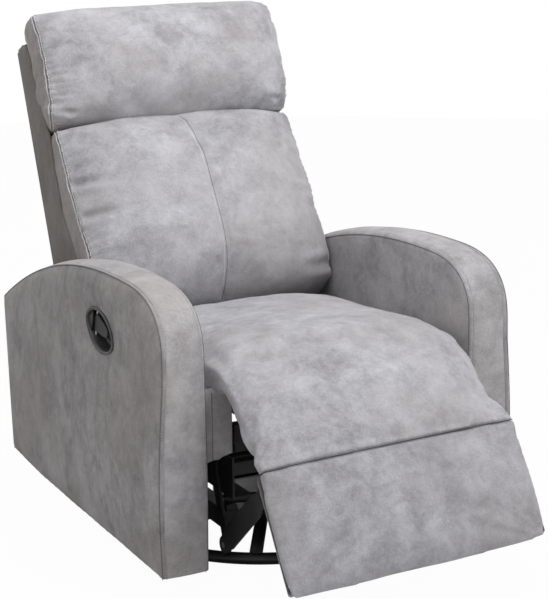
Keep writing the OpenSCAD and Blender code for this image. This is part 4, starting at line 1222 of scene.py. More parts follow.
@dataclass
class SeatDress:
    """The seat cushion that rolls over the front edge into the leg pad, made as one cover."""

    half: float = 0.273
    front_h: float = 0.439
    slope: float = 4.7
    front_y: float = 0.037
    flat: float = 0.494
    knee_r: float = 0.122
    leg_slope: float = 45.5
    leg: float = 0.152
    crown: float = 0.033
    leg_t: float = 0.044
    floor_z: float = 0.3103
    trim: float = 0.012
    rear_roll: float = 0.046
    joint_run: float = 0.085

    # Creases at the knee: where each starts and ends (y before the arms' fronts), its depth and its width
    TUCKS = (((-0.262, 0.045, 0.405), (-0.20, 0.040, 0.43), 0.0045, 0.008),
             ((-0.262, 0.085, 0.375), (-0.21, 0.080, 0.40), 0.0040, 0.007),
             ((-0.266, 0.165, 0.308), (-0.235, 0.150, 0.335), 0.0035, 0.006))

    def __post_init__(self) -> None:
        """Work out the path of the cover's side line."""
        self.arc = self.knee_r * math.radians(self.slope + self.leg_slope)
        self.total = self.flat + self.arc + self.leg
        a, b = math.radians(self.slope), math.radians(self.leg_slope)
        self.front = (FRONT_Y + self.front_y, self.front_h)
        self.rear = (self.front[0] + self.flat * math.cos(a), self.front[1] - self.flat * math.sin(a))
        self.mid = (self.front[0] - self.knee_r * math.sin(a), self.front[1] - self.knee_r * math.cos(a))
        self.knee_end = (self.mid[0] - self.knee_r * math.sin(b), self.mid[1] + self.knee_r * math.cos(b))

    def at(self, s: float) -> tuple[Pair, Pair]:
        """Return the side line's point and its outward direction at a path length."""
        b = math.radians(self.leg_slope)
        if s < self.flat:
            a = math.radians(self.slope)
            return mix_pair(self.rear, self.front, s / self.flat), (math.sin(a), math.cos(a))
        if s < self.flat + self.arc:
            a = math.radians(self.slope) - (s - self.flat) / self.knee_r
            return ((self.mid[0] + self.knee_r * math.sin(a), self.mid[1] + self.knee_r * math.cos(a)),
                    (math.sin(a), math.cos(a)))
        run = s - self.flat - self.arc
        return ((self.knee_end[0] - run * math.cos(b), self.knee_end[1] - run * math.sin(b)),
                (-math.sin(b), math.cos(b)))

    def thickness(self, s: float) -> float:
        """Return the pad's thickness at a path length."""
        hold = self.flat * 0.83
        if s < hold:
            return (self.at(s)[0][1] - self.floor_z) / math.cos(math.radians(self.slope))
        return mix((self.at(hold)[0][1] - self.floor_z), self.leg_t,
                   smooth((s - hold) / (self.flat - hold + self.arc * 0.35)))

    def joint_ring(self, back: float, sink: float) -> list[Triple]:
        """Return the cover's section where it is sewn to the footrest, moved up the leg.

        Args:
            back: Distance up the leg from the sewn line.
            sink: How far the section is drawn in.

        Returns:
            The section's points, in the order of every other ring.
        """
        foot = FootrestDress()
        b = math.radians(self.leg_slope)
        half = foot.joint_half - sink

        def spot(x: float, w: float) -> Triple:
            """Return one point of the section."""
            p = foot.place(x, w, foot.length + 0.0006)
            return (p.x, p.y + back * math.cos(b), p.z + back * math.sin(b))
        side, low = foot.joint_height(1.0) - sink, foot.board + 0.0004
        ring = [spot(half * (k / 15 - 1), foot.joint_height(k / 15 - 1) - sink) for k in range(31)]
        ring += [spot(half - 0.001, mix(side, low, share)) for share in (0.25, 0.5, 0.75)]
        ring += [spot(half * (1 - k / 6) * 0.99, low) for k in range(13)]
        ring += [spot(0.001 - half, mix(side, low, share)) for share in (0.75, 0.5, 0.25)]
        return ring

    def ring(self, s: float, inset: float) -> list[Triple]:
        """Return one cross-section of the cover."""
        p, up = self.at(s)
        fill = fill_out(s - self.trim, self.rear_roll)
        t = self.thickness(s)
        drop = (1 - fill) * t * 0.5
        knee = math.exp(-((s - self.flat - self.arc * 0.6) / (self.arc * 0.55)) ** 2)
        half = self.half - (1 - fill) * 0.012 - inset * 0.5
        crown = self.crown * fill - inset
        edge = 0.006 + 0.008 * knee
        ring = []
        for k in range(31):
            u = -1 + 2 * k / 30
            rise = (crown + edge) * (1 - abs(u) ** 2.9) - edge
            ring.append((half * u, rise - drop))
        low = -t + drop + inset
        side = [(half - 0.004 * math.sin(math.pi * share), mix(-drop - edge, low, share))
                for share in (0.25, 0.5, 0.75)]
        ring += side + [(half * (1 - 2 * k / 12) * 0.99, low) for k in range(13)]
        ring += [(-x, h) for x, h in reversed(side)]
        plain = [(x, p[0] + up[0] * h, p[1] + up[1] * h) for x, h in ring]
        share = smooth((s - self.total + self.joint_run) / self.joint_run)
        if share <= 0:
            return plain
        return [tuple(mix(a, b, share) for a, b in zip(q, r))
                for q, r in zip(plain, self.joint_ring(self.total - s, inset * (1 - share)))]

    def side_line(self, sign: int, start: float, end: float) -> list[Vector]:
        """Return the side seam between two path lengths."""
        corner = 30 if sign > 0 else 0
        return [Vector(self.ring(mix(start, end, t), 0.0)[corner]) for t in shares(60)]

    def build(self, kit: Upholsterer) -> None:
        """Build, stuff and sew the cover."""
        stations = [self.trim + self.rear_roll * t for t in (0.01, 0.06, 0.16, 0.32, 0.55, 0.8, 1.0)]
        stations += [mix(self.trim + self.rear_roll, self.total - 0.004, t) for t in shares(56)[1:]]
        ends = [self.joint_ring(0.0012, 0.0006), self.joint_ring(0.0, 0.0026)]
        cover = loft("seat_and_leg_cover", [self.ring(s, 0.006) for s in stations] + ends)
        knee_y = FRONT_Y - 0.10
        foot = FootrestDress()
        a = math.radians(foot.lean)
        sewn = foot.place(0.0, foot.board, foot.length)

        def off_joint(p: Vector) -> float:
            """Return the distance from the plane of the seam with the footrest."""
            return (p.y - sewn.y) * math.sin(a) + (p.z - sewn.z) * math.cos(a)

        def away(p: Vector) -> float:
            """Return how far a point is clear of that seam, 0 to 1."""
            return smooth((off_joint(p) - 0.004) / 0.03)

        def held(p: Vector) -> float:
            """Hold the underside and the sewn front edge."""
            under = 1.0 if p.z < self.floor_z + 0.012 and p.y > FRONT_Y else 0.0
            return max(under, 1 - smooth((off_joint(p) - 0.006) / 0.016))
        kit.plump(cover, 0.006, 0.010, held)
        kit.crease(cover, 0.0018, 8.0, where=away)
        kit.crease(cover, 0.0016, 24.0, (0.5, 1.0, 1.0), lambda p: away(p) * smooth((abs(p.x) - 0.17) / 0.09))
        kit.crease(cover, 0.0044, 22.0, (0.22, 1.2, 1.2),
                   lambda p: smooth((abs(p.x) - 0.215) / 0.05) * math.exp(-((p.y - knee_y) / 0.08) ** 2))
        for start, end, depth, width in self.TUCKS:
            start, end = (Vector((x, FRONT_Y - y, z)) for x, y, z in (start, end))
            kit.tuck(cover, start, end, depth, width)
        seams = [Seam(self.side_line(sign, self.flat * 0.3, self.total - 0.004), 0.0034, 0.005, 0.0015, 0.013, 0.018)
                 for sign in (-1, 1)]
        cross = [foot.place(foot.joint_half * (i / 30 - 1), foot.joint_height(i / 30 - 1), foot.length)
                 for i in range(61)]
        seams.append(Seam(cross, 0.0, 0.006, 0.0019, 0.0125, 0.020))
        kit.sew(cover, seams)
        subdivide(cover)
        paint(cover, PALETTE.suede)
        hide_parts("seat_cushion", "leg_pad")
        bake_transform(cover)
        log.info("seat cover: %d faces", len(cover.data.polygons))


@dataclass
class FootrestDress:
    """The footrest's front pad, its wrapped board, and dark lines of painted shade along the joints and the sewn seam
    round them.
    """

    base: Pair = (FRONT_Y - 0.281, 0.099)
    lean: float = 33.6
    length: float = 0.226
    width: float = 0.550
    board: float = 0.012
    seam: float = 0.030
    crown: float = 0.056
    joint_half: float = 0.2755
    pad_half: float = 0.2775
    joint_crown: float = 0.0475
    joint_edge: float = 0.0345
    overhang: float = 0.004
    sag: float = 0.002
    corner: float = 0.014
    skew: float = 0.016
    roll: float = 0.058

    def joint_height(self, t: float) -> float:
        """Return the height over the board's rear face of the seam with the leg cover."""
        return mix(self.joint_edge, self.joint_crown, 1 - abs(t) ** 4)

    def place(self, x: float, w: float, u: float) -> Vector:
        """Return the point at width x, height w over the board's rear face and length u up it."""
        a = math.radians(self.lean)
        u -= self.skew * (0.5 - x / self.width)
        return Vector((x, self.base[0] - w * math.cos(a) + u * math.sin(a),
                       self.base[1] + w * math.sin(a) + u * math.cos(a)))

    def ring(self, u: float, inset: float) -> list[Vector]:
        """Return one cross-section of the pad."""
        up = u + self.overhang
        low = fill_out(up, self.roll)
        near = 1 - smooth((self.length - u) / 0.055)
        hollow = 0.0026 * (1 - fill_out(self.length + 0.0004 - u, 0.0045))
        inset *= min(1.0, (self.length - u) / 0.03)
        bow = 0.004 * math.sin(math.pi * min(1.0, up / (self.length + self.overhang)))
        half = mix(self.pad_half + bow, self.joint_half, near) - (1 - fill_out(up, self.corner)) * self.corner
        half -= inset * 0.5 + hollow
        back = self.board + 0.0004
        ring = []
        for k in range(31):
            t = -1 + 2 * k / 30
            plain = self.seam + (self.crown - self.seam) * (1 - abs(t) ** 3.2)
            tall = mix(plain, self.joint_height(t), near) - hollow - inset
            lower = back + 0.004 + 0.008 * (1 - t * t)
            dip = self.sag * (1 - t * t) * (1 - smooth(up / 0.07))
            ring.append(self.place(half * t, mix(lower, tall, low), u - dip))
        seam = (ring[0] - self.place(ring[0].x, 0.0, u)).length
        for share in (0.33, 0.66):
            ring.append(self.place(half - 0.001, mix(seam, back, share), u))
        for k in range(13):
            t = 1 - k / 6
            dip = self.sag * (1 - t * t) * (1 - smooth(up / 0.07))
            ring.append(self.place((half - 0.003) * t, back, u - dip))
        for share in (0.66, 0.33):
            ring.append(self.place(0.001 - half, mix(seam, back, share), u))
        return ring

    def edge(self, sign: int) -> list[Vector]:
        """Return the pad's side seam."""
        corner = 30 if sign > 0 else 0
        return [self.ring(mix(0.0, self.length - 0.002, t), 0.0)[corner] for t in shares(40)]

    def build(self, kit: Upholsterer) -> None:
        """Build, stuff and sew the footrest."""
        bottom = -self.overhang
        stations = [bottom + d for d in (0.0006, 0.002, 0.005, 0.010, 0.018)]
        stations += [mix(bottom + 0.026, self.length - 0.010, t) for t in shares(28)]
        stations += [self.length - d for d in (0.0065, 0.0040, 0.0020, 0.0006, 0.0)]
        pad = loft("footrest_pad_cover", [self.ring(u, 0.005) for u in stations])
        a = math.radians(self.lean)
        up = Vector((0, math.sin(a), math.cos(a)))
        out = Vector((0, -math.cos(a), math.sin(a)))
        root = Vector((0, *self.base))

        def held(p: Vector) -> float:
            """Hold the pad's back and its upper edge."""
            d = p - root
            return max(1.0 if d.dot(out) < self.board + 0.005 else 0.0,
                       1 - smooth((self.length - 0.006 - d.dot(up)) / 0.016))
        kit.plump(pad, 0.0055, 0.009, held)
        kit.crease(pad, 0.0018, 9.0, where=lambda p: smooth((self.length - 0.004 - (p - root).dot(up)) / 0.03))
        kit.crease(pad, 0.0014, 24.0, (1.0, 0.6, 0.6), lambda p: smooth(((p - root).dot(up) - 0.13) / 0.05)
                   * smooth((self.length - 0.003 - (p - root).dot(up)) / 0.02))
        top = [self.place(self.joint_half * (i / 30 - 1), self.joint_height(i / 30 - 1), self.length)
               for i in range(61)]
        kit.sew(pad, [*(Seam(self.edge(sign), 0.0022, 0.004, 0.0009, 0.014, 0.02) for sign in (-1, 1)),
                      Seam(top, 0.0, 0.006, 0.0015, 0.0125, 0.016)])
        subdivide(pad)
        # The pad gets the darker copy of the microfibre, which paints in the shade low down.
        paint(pad, PALETTE.suede_foot_shaded)
        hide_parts("footrest_pad")
        wrap = self.wrapped_board(kit)
        # Dark cords where the pad meets the board and along the top seam: painted shade for the shadow in these
        # joints.
        side, high = self.width / 2 - 0.001, self.length - 0.004
        loop = [self.place(x, self.board + 0.0005, u)
                for x, u in ((-side, high), (-side, 0.008), (side, 0.008), (side, high))]
        edge_shade_cord = kit.welts.run("footrest_piping", [resample(loop, kit.PITCH)], PALETTE.shade_cord_dark,
                               Thickness=0.0022)
        line = [p + out * -0.0013 for p in top if abs(p.x) < self.joint_half - 0.006]
        row = kit.welts.run("footrest_seam_shade_line", [line], PALETTE.shade_cord_dark, Thickness=0.0010)
        fit_out("footrest", (pad, wrap, edge_shade_cord, row))
        log.info("footrest: %d faces", len(pad.data.polygons))

    def wrapped_board(self, kit: Upholsterer) -> bpy.types.Object:
        """Build the board behind the pad, wrapped in cloth with soft edges."""
        half, foot, thick = self.width / 2 - 0.002, 0.003, self.board
        steps = [(foot, 0.0035), (foot + 0.0015, 0.001), (foot + 0.005, 0.0)]
        steps += [(mix(foot + 0.005, self.length - 0.008, t), 0.0) for t in shares(20)[1:]]
        steps += [(self.length - 0.0045, 0.001), (self.length - 0.003, 0.0035)]
        side = [(half - 0.004, thick), (half - 0.001, thick - 0.0012), (half, thick - 0.004), (half, 0.004),
                (half - 0.001, 0.0012), (half - 0.004, 0.0)]
        outline = [(-x, w) for x, w in reversed(side)] + [(0.0, thick), *side, (0.0, 0.0)]
        sections = []
        for u, tight in steps:
            sections.append([self.place(x * (1 - tight / 0.3),
                                        thick / 2 + (w - thick / 2) * (1 - tight / 0.006), u) for x, w in outline])
        board = loft("footrest_board_wrap", sections)
        kit.crease(board, 0.0004, 30.0)
        # The wrap gets the darker copy of the microfibre, which paints in shade.
        paint(board, PALETTE.suede_side_shaded)
        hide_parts("footrest_board")
        return board


@dataclass(frozen=True)
class CushionForm:
    """Sizes of one cushion on the back.

    Attributes:
        name: Name of the piece.
        ends: Lowest and highest place up the back.
        half: Half the cushion's width.
        depth: Greatest depth in front of the rear face.
        rear: Depth of its rear edge.
        crowns: Share of the depth along the middle line.
        seams: Share of the depth along the side seams.
        low_round: Radius of its lower rolled end.
        high_round: Radius of its upper rolled end.
        fullness: How square its section is; 2 is a plain dome.
        widest: Farthest from the middle that the stuffed sides may stand between the arms.
        spread: Farthest that they may stand above the arms.
    """

    name: str
    ends: Pair
    half: float
    depth: float
    rear: float
    crowns: Sequence[Pair]
    seams: Sequence[Pair]
    low_round: float
    high_round: float
    fullness: float
    widest: float
    spread: float

    def fill(self, s: float) -> float:
        """Return how far the rolled ends have filled out at a length."""
        return min(fill_out(s, self.low_round), fill_out(self.ends[1] - self.ends[0] - s, self.high_round))


@dataclass
class BackDress:
    """The reclining back: wrapped shell, lining, lumbar cushion and head pillow."""

    foot: Pair = (FRONT_Y + 0.733839, 0.250)
    lean: float = 21.9
    width: float = 0.574
    length: float = 0.738
    shell_t: float = 0.007
    lumbar_form: CushionForm = CushionForm(
        "lumbar_cover", (0.076, 0.516), 0.2855, 0.322, 0.0600,
        ((0, 0.88), (0.19, 0.985), (0.34, 1), (0.53, 0.945), (0.72, 0.875), (0.9, 0.80), (1, 0.74)),
        ((0, 0.6), (0.12, 0.735), (0.3, 0.72), (0.48, 0.64), (0.66, 0.575), (0.9, 0.505), (1, 0.475)),
        0.040, 0.018, 4.6, 0.2885, 0.3000)
    # Creases of the cushions: where each starts and ends on the back, its depth and its width
    LUMBAR_TUCKS = (((-0.276, 0.195, 0.378), (-0.19, 0.265, 0.374), 0.0085, 0.009),
                    ((-0.276, 0.220, 0.300), (-0.20, 0.290, 0.302), 0.0070, 0.009),
                    ((-0.276, 0.190, 0.440), (-0.20, 0.245, 0.452), 0.0035, 0.009),
                    ((0.276, 0.235, 0.135), (0.19, 0.300, 0.125), 0.0065, 0.012),
                    ((0.276, 0.200, 0.300), (0.21, 0.280, 0.310), 0.0040, 0.010),
                    ((0.274, 0.170, 0.420), (0.20, 0.240, 0.425), 0.0040, 0.009),
                    ((-0.276, 0.150, 0.500), (-0.225, 0.205, 0.506), 0.0055, 0.006))
    PILLOW_TUCKS = (((0.280, 0.140, 0.557), (0.232, 0.200, 0.532), 0.0105, 0.006),
                    ((0.276, 0.150, 0.640), (0.20, 0.220, 0.646), 0.0045, 0.008),
                    ((0.276, 0.140, 0.745), (0.21, 0.210, 0.730), 0.0060, 0.007),
                    ((0.276, 0.155, 0.690), (0.22, 0.220, 0.688), 0.0035, 0.007))

    pillow_form: CushionForm = CushionForm(
        "pillow_cover", (0.516, 0.784), 0.290, 0.232, 0.0560,
        ((0, 0.86), (0.15, 0.95), (0.4, 1), (0.65, 0.99), (0.85, 0.92), (1, 0.81)),
        ((0, 0.62), (0.15, 0.69), (0.4, 0.73), (0.65, 0.71), (0.85, 0.66), (1, 0.60)),
        0.036, 0.024, 6.4, 0.2980, 0.3030)

    def place(self, x: float, w: float, u: float) -> Vector:
        """Return the point at width x, depth w in front of the rear face and height u up it."""
        a = math.radians(self.lean)
        return Vector((x, self.foot[0] - w * math.cos(a) + u * math.sin(a),
                       self.foot[1] + w * math.sin(a) + u * math.cos(a)))

    def local(self, p: Vector) -> Triple:
        """Return a point's width, depth and height in the back's own frame."""
        a = math.radians(self.lean)
        dy, dz = p.y - self.foot[0], p.z - self.foot[1]
        return (p.x, -dy * math.cos(a) + dz * math.sin(a), dy * math.sin(a) + dz * math.cos(a))

    def cushion(self, form: CushionForm, inset: float) -> bpy.types.Object:
        """Build the rough form of one cushion, smaller than the stuffed one by an inset."""
        size = form.ends[1] - form.ends[0]
        count = 60
        rings = []
        for i in range(count + 1):
            share = 0.5 - 0.5 * math.cos(math.pi * i / count)
            share = min(0.9985, max(0.0015, mix(share, i / count, 0.40)))
            s = share * size
            fill = form.fill(s)
            seam = form.depth * through(form.seams, share)
            crown = form.depth * through(form.crowns, share) - inset
            middle = mix(form.rear, seam, 0.60)
            low = mix(middle, form.rear, fill)
            edge = mix(middle, seam, fill)
            top = mix(mix(middle, crown, 0.55), crown, fill)
            wide = form.half - (1 - fill) * (0.014 if share < 0.5 else 0.008) - inset * 0.4
            ring = []
            for k in range(39):
                t = -1 + 2 * k / 38
                t = math.copysign(abs(t) ** 0.86, t)
                ring.append(self.place(wide * t, edge + (top - edge) * (1 - abs(t) ** form.fullness),
                                       form.ends[0] + s))
            for q in (0.2, 0.4, 0.6, 0.8):
                ring.append(self.place(wide - 0.003 * math.sin(math.pi * q), mix(edge, low, q), form.ends[0] + s))
            for k in range(15):
                ring.append(self.place((wide - 0.006) * (1 - k / 7), low, form.ends[0] + s))
            for q in (0.8, 0.6, 0.4, 0.2):
                ring.append(self.place(-wide + 0.003 * math.sin(math.pi * q), mix(edge, low, q), form.ends[0] + s))
            rings.append(ring)
        return loft(form.name, rings)

    def side_line(self, form: CushionForm, sign: int) -> list[Vector]:
        """Return a cushion's front side seam."""
        size = form.ends[1] - form.ends[0]
        line = []
        for t in shares(80):
            share = mix(0.008, 0.992, t)
            fill = form.fill(share * size)
            seam = form.depth * through(form.seams, share)
            middle = mix(form.rear, seam, 0.60)
            line.append(self.place(sign * (form.half - (1 - fill) * 0.014), mix(middle, seam, fill),
                                   form.ends[0] + share * size))
        return line

    def rear_line(self, form: CushionForm, sign: int) -> list[Vector]:
        """Return the seam along the rear edge of a cushion's side."""
        low, high = form.ends
        return [self.place(sign * form.half, form.rear + 0.016, mix(low + 0.03, high - 0.03, t)) for t in shares(60)]

    def stuff(self, kit: Upholsterer, form: CushionForm,
              voxel: float) -> tuple[bpy.types.Object, list[list[Vector]]]:
        """Build a cushion, stuff it and keep its sides in line.

        Args:
            kit: The upholstery tools.
            form: Sizes of the cushion.
            voxel: Size of its even faces.

        Returns:
            The cushion and its two side seams.
        """
        cover = self.cushion(form, 0.008)
        sides = [self.side_line(form, sign) for sign in (-1, 1)]
        tree = kdtree.KDTree(sum(len(line) for line in sides))
        for i, p in enumerate(p for line in sides for p in line):
            tree.insert(p, i)
        tree.balance()

        def held(p: Vector) -> float:
            """Hold the rear face and the side seams."""
            return 1.0 if self.local(p)[1] < form.rear + 0.008 or tree.find(p)[2] < 0.007 else 0.0
        kit.plump(cover, voxel, 0.014, held)
        for v in cover.data.vertices:
            above = smooth((v.co.z - 0.585) / 0.030)
            wide = abs(v.co.x) * (mix(1.0, 1.022, above) if v.co.x > 0 else 1.0)
            v.co.x = math.copysign(min(wide, mix(form.widest, form.spread, above)), v.co.x)
        return cover, sides

    def box_sides(self, cover: bpy.types.Object, form: CushionForm) -> None:
        """Give a cushion its finish, with the boxing at its sides in a darker copy of it that paints shade on the
        side faces.
        """
        paint(cover, PALETTE.suede)
        cover.data.materials.append(FINISHES.of(PALETTE.suede_boxing_shaded))
        for face in cover.data.polygons:
            _, w, u = self.local(face.center)
            seam = form.depth * through(form.seams, (u - form.ends[0]) / (form.ends[1] - form.ends[0]))
            face.material_index = 1 if w < seam - 0.002 and abs(face.center.x) > 0.262 else 0

    def trim(self, kit: Upholsterer, tag: str, cover: bpy.types.Object, form: CushionForm,
             sides: Sequence[Sequence[Vector]]) -> list[bpy.types.Object]:
        """Sew the pale rows beside a cushion's seams and lay in them dark lines of painted shade and pale turned
        edges of painted highlight.
        """
        pieces = []
        behind = self.place(0, -0.0032, 0) - self.place(0, 0, 0)
        for label, sign, line in (("left", -1, sides[0]), ("right", 1, sides[1])):
            fold = [p + behind + Vector((0.0012 * sign, 0, 0)) for p in line]
            pieces += [
                kit.topstitch(f"{tag}_side_stitches_{label}", cover, line, Vector((0.0060 * -sign, -0.003, 0.001)),
                              PALETTE.thread, 0.0062, 0.0050, 0.0010, 0.0006),
                # Pale cords on the turned edges at the rear and beside the seam: the cord is the edge, and its pale
                # colour is a painted highlight. The dark line in the seam is painted shade.
                kit.welt(f"{tag}_rear_fold_{label}", cover, self.rear_line(form, sign), 0.0, PALETTE.fold, 0.0014),
                kit.welt(f"{tag}_seam_line_{label}", cover, line, -0.0001, PALETTE.shade_cord_dark, 0.0007),
                kit.welt(f"{tag}_seam_fold_{label}", cover, fold, 0.0002, PALETTE.fold, 0.0014)]
        return pieces

    def tuck_in(self, kit: Upholsterer, cover: bpy.types.Object, tucks: Sequence[Any], sign: int = 1) -> None:
        """Press a cushion's creases in, mirrored where the sign is -1."""
        for start, end, depth, width in tucks:
            start, end = (self.place(sign * x, w, u) for x, w, u in (start, end))
            kit.tuck(cover, start, end, depth, width)

    def finish_off(self, cover: bpy.types.Object, form: CushionForm, tag: str, node: str) -> None:
        """Smooth a sewn cushion, give it its finishes and let it stand for its node."""
        subdivide(cover)
        self.box_sides(cover, form)
        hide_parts(node)
        log.info("%s cushion: %d faces", tag, len(cover.data.polygons))

    def lumbar(self, kit: Upholsterer) -> None:
        """Build the lumbar cushion with its sewn middle channel."""
        form = self.lumbar_form
        cover, sides = self.stuff(kit, form, 0.006)
        middle = [self.place(0.0, form.depth * through(form.crowns, t), mix(*form.ends, t))
                  for t in [mix(0.02, 0.995, share) for share in shares(80)]]
        kit.crease(cover, 0.0026, 6.5)
        kit.crease(cover, 0.0022, 21.0, (0.30, 1.0, 1.0), lambda p: smooth((abs(p.x) - 0.12) / 0.12))
        kit.crease(cover, 0.0009, 30.0, (1.0, 0.5, 0.5), lambda p: smooth((abs(p.x) - 0.276) / 0.006))
        self.tuck_in(kit, cover, self.LUMBAR_TUCKS)
        kit.sew(cover, [*(Seam(line, 0.0042, 0.005, 0.0021, 0.016, 0.034, 0.0018) for line in sides),
                        Seam(middle, 0.0062, 0.0100, 0.0, 0.012, 0.016, 0.0010)])
        self.finish_off(cover, form, "lumbar", "lumbar_cushion")
        inward = (self.place(0, 0, 0) - self.place(0, 1, 0)).normalized()
        pale, grey, dark = (
            [kit.on_surface(cover, resample([p + Vector((x, 0, 0)) for p in middle], kit.PITCH), lift, inward)]
            for x, lift in ((-0.0062, 0.0003), (0.0062, 0.0003), (0.0, -0.0003)))
        # The dark line down the middle channel is painted shade in its seam.
        rows = {"Pitch": 0.0060, "Thread": 0.0008}
        trims = [kit.stitches.run("lumbar_pale_stitches", pale, PALETTE.thread, Stitch=0.0048, **rows),
                 kit.stitches.run("lumbar_grey_stitches", grey, PALETTE.thread_grey, Stitch=0.0044, **rows),
                 kit.welts.run("lumbar_middle_shade_line", dark, PALETTE.shade_cord_dark, Thickness=0.0007)]
        fit_out("back", (cover, *trims, *self.trim(kit, "lumbar", cover, form, sides)))

    def pillow(self, kit: Upholsterer) -> None:
        """Build the head pillow."""
        form = self.pillow_form
        cover, sides = self.stuff(kit, form, 0.0055)
        kit.crease(cover, 0.0024, 7.0)
        kit.crease(cover, 0.0032, 25.0, (0.30, 1.0, 1.0), lambda p: smooth((abs(p.x) - 0.15) / 0.10))
        kit.crease(cover, 0.0052, 27.0, (0.22, 1.0, 1.0), lambda p: smooth((-0.205 - p.x) / 0.05)
                   * smooth((self.local(p)[1] - 0.13) / 0.03) * smooth((p.z - 0.80) / 0.04)
                   * smooth((1.01 - p.z) / 0.05))
        kit.crease(cover, 0.0008, 30.0, (1.0, 0.5, 0.5), lambda p: smooth((abs(p.x) - 0.280) / 0.006))
        for sign in (-1, 1):
            self.tuck_in(kit, cover, self.PILLOW_TUCKS, sign)
        kit.sew(cover, [Seam(line, 0.0042, 0.005, 0.0027, 0.0145, 0.036, 0.0018) for line in sides])
        self.finish_off(cover, form, "pillow", "head_pillow")
        fit_out("back", (cover, *self.trim(kit, "pillow", cover, form, sides)))

    def lining(self) -> None:
        """Build the dark lining that closes the frame between the shell and the cushions."""
        rings = []
        for u, tight in ((0.050, 0.006), (0.052, 0.0015), (0.058, 0.0), (0.35, 0.0), (0.70, 0.0), (0.722, 0.0015),
                         (0.728, 0.006)):
            half, front = 0.2785 - tight, mix(0.078, 0.068, smooth((u - 0.6) / 0.12)) - tight
            section = [(-half, 0.010), (-half, mix(0.010, front, 0.5)), (0.004 - half, front)]
            section += [(mix(0.02 - half, half - 0.02, i / 12), front + 0.002 * math.sin(math.pi * i / 12))
                        for i in range(13)]
            section += [(-x, w) for x, w in reversed(section[:3])]
            rings.append([self.place(x, w, u) for x, w in section])
        cloth = loft("back_lining", rings)
        paint(cloth, PALETTE.lining)
        fit_out("back", [cloth])

    def shell(self, kit: Upholsterer) -> None:
        """Build the cloth-wrapped shell with its rolled edges."""
        cheeks = [(0, 0.1138), (0.040, 0.158), (0.229, 0.1548), (0.338, 0.1169), (0.520, 0.1106), (0.690, 0.076),
                  (0.715, 0.072), (0.730, 0.060), (0.738, 0.040)]
        half, t = self.width / 2, self.shell_t
        heights = [0.0, 0.002, 0.006, *(mix(0.014, 0.724, t) for t in shares(60)), 0.730, 0.734, 0.7365, 0.738]
        rings = []
        for u in heights:
            deep = through(cheeks, u)
            tight = 0.005 * (1 - min(fill_out(u, 0.010), fill_out(self.length - u, 0.016)))
            outer = [(-half + t * 0.3, deep), (-half + tight, deep - 0.003), (-half + tight, deep * 0.66),
                     (-half + tight, deep * 0.33), (-half + tight, 0.012), (-half + tight + 0.0035, 0.0035),
                     (-half + 0.012, tight)]
            outer += [(mix(-half + 0.02, half - 0.02, s), tight) for s in shares(16)]
            outer += [(-x, w) for x, w in reversed(outer[:7])]
            inner = [(half - t, deep - 0.001), (half - t, t), (mix(half - t, t - half, 0.25), t), (0.0, t),
                     (mix(half - t, t - half, 0.75), t), (t - half, t), (t - half, deep - 0.001)]
            rings.append([self.place(x, w, u) for x, w in outer + inner])
        cover = loft("back_shell_cover", rings)
        kit.crease(cover, 0.0012, 8.0, (1, 1, 0.5))
        paint(cover, PALETTE.suede_back)
        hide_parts("back_shell")
        cap = loft("back_shell_top", [[self.place(x, w, u) for x, w in (
            (-half + t, t), (half - t, t), (half - t, 0.050), (-half + t, 0.050))]
            for u in (self.length - 0.0065, self.length - 0.0012)])
        paint(cap, PALETTE.suede_back)
        seams = [[self.place(sign * (half - 0.004), 0.003, mix(0.01, 0.73, s)) for s in shares(60)]
                 for sign in (-1, 1)]
        welts = kit.welts.run("back_shell_seam_cord", seams, PALETTE.suede_back, Thickness=0.0024)
        fit_out("back", (cover, cap, welts))
        log.info("back shell: %d faces", len(cover.data.polygons))

    def build(self, kit: Upholsterer) -> None:
        """Build the whole back."""
        self.shell(kit)
        self.lining()
        self.lumbar(kit)
        self.pillow(kit)


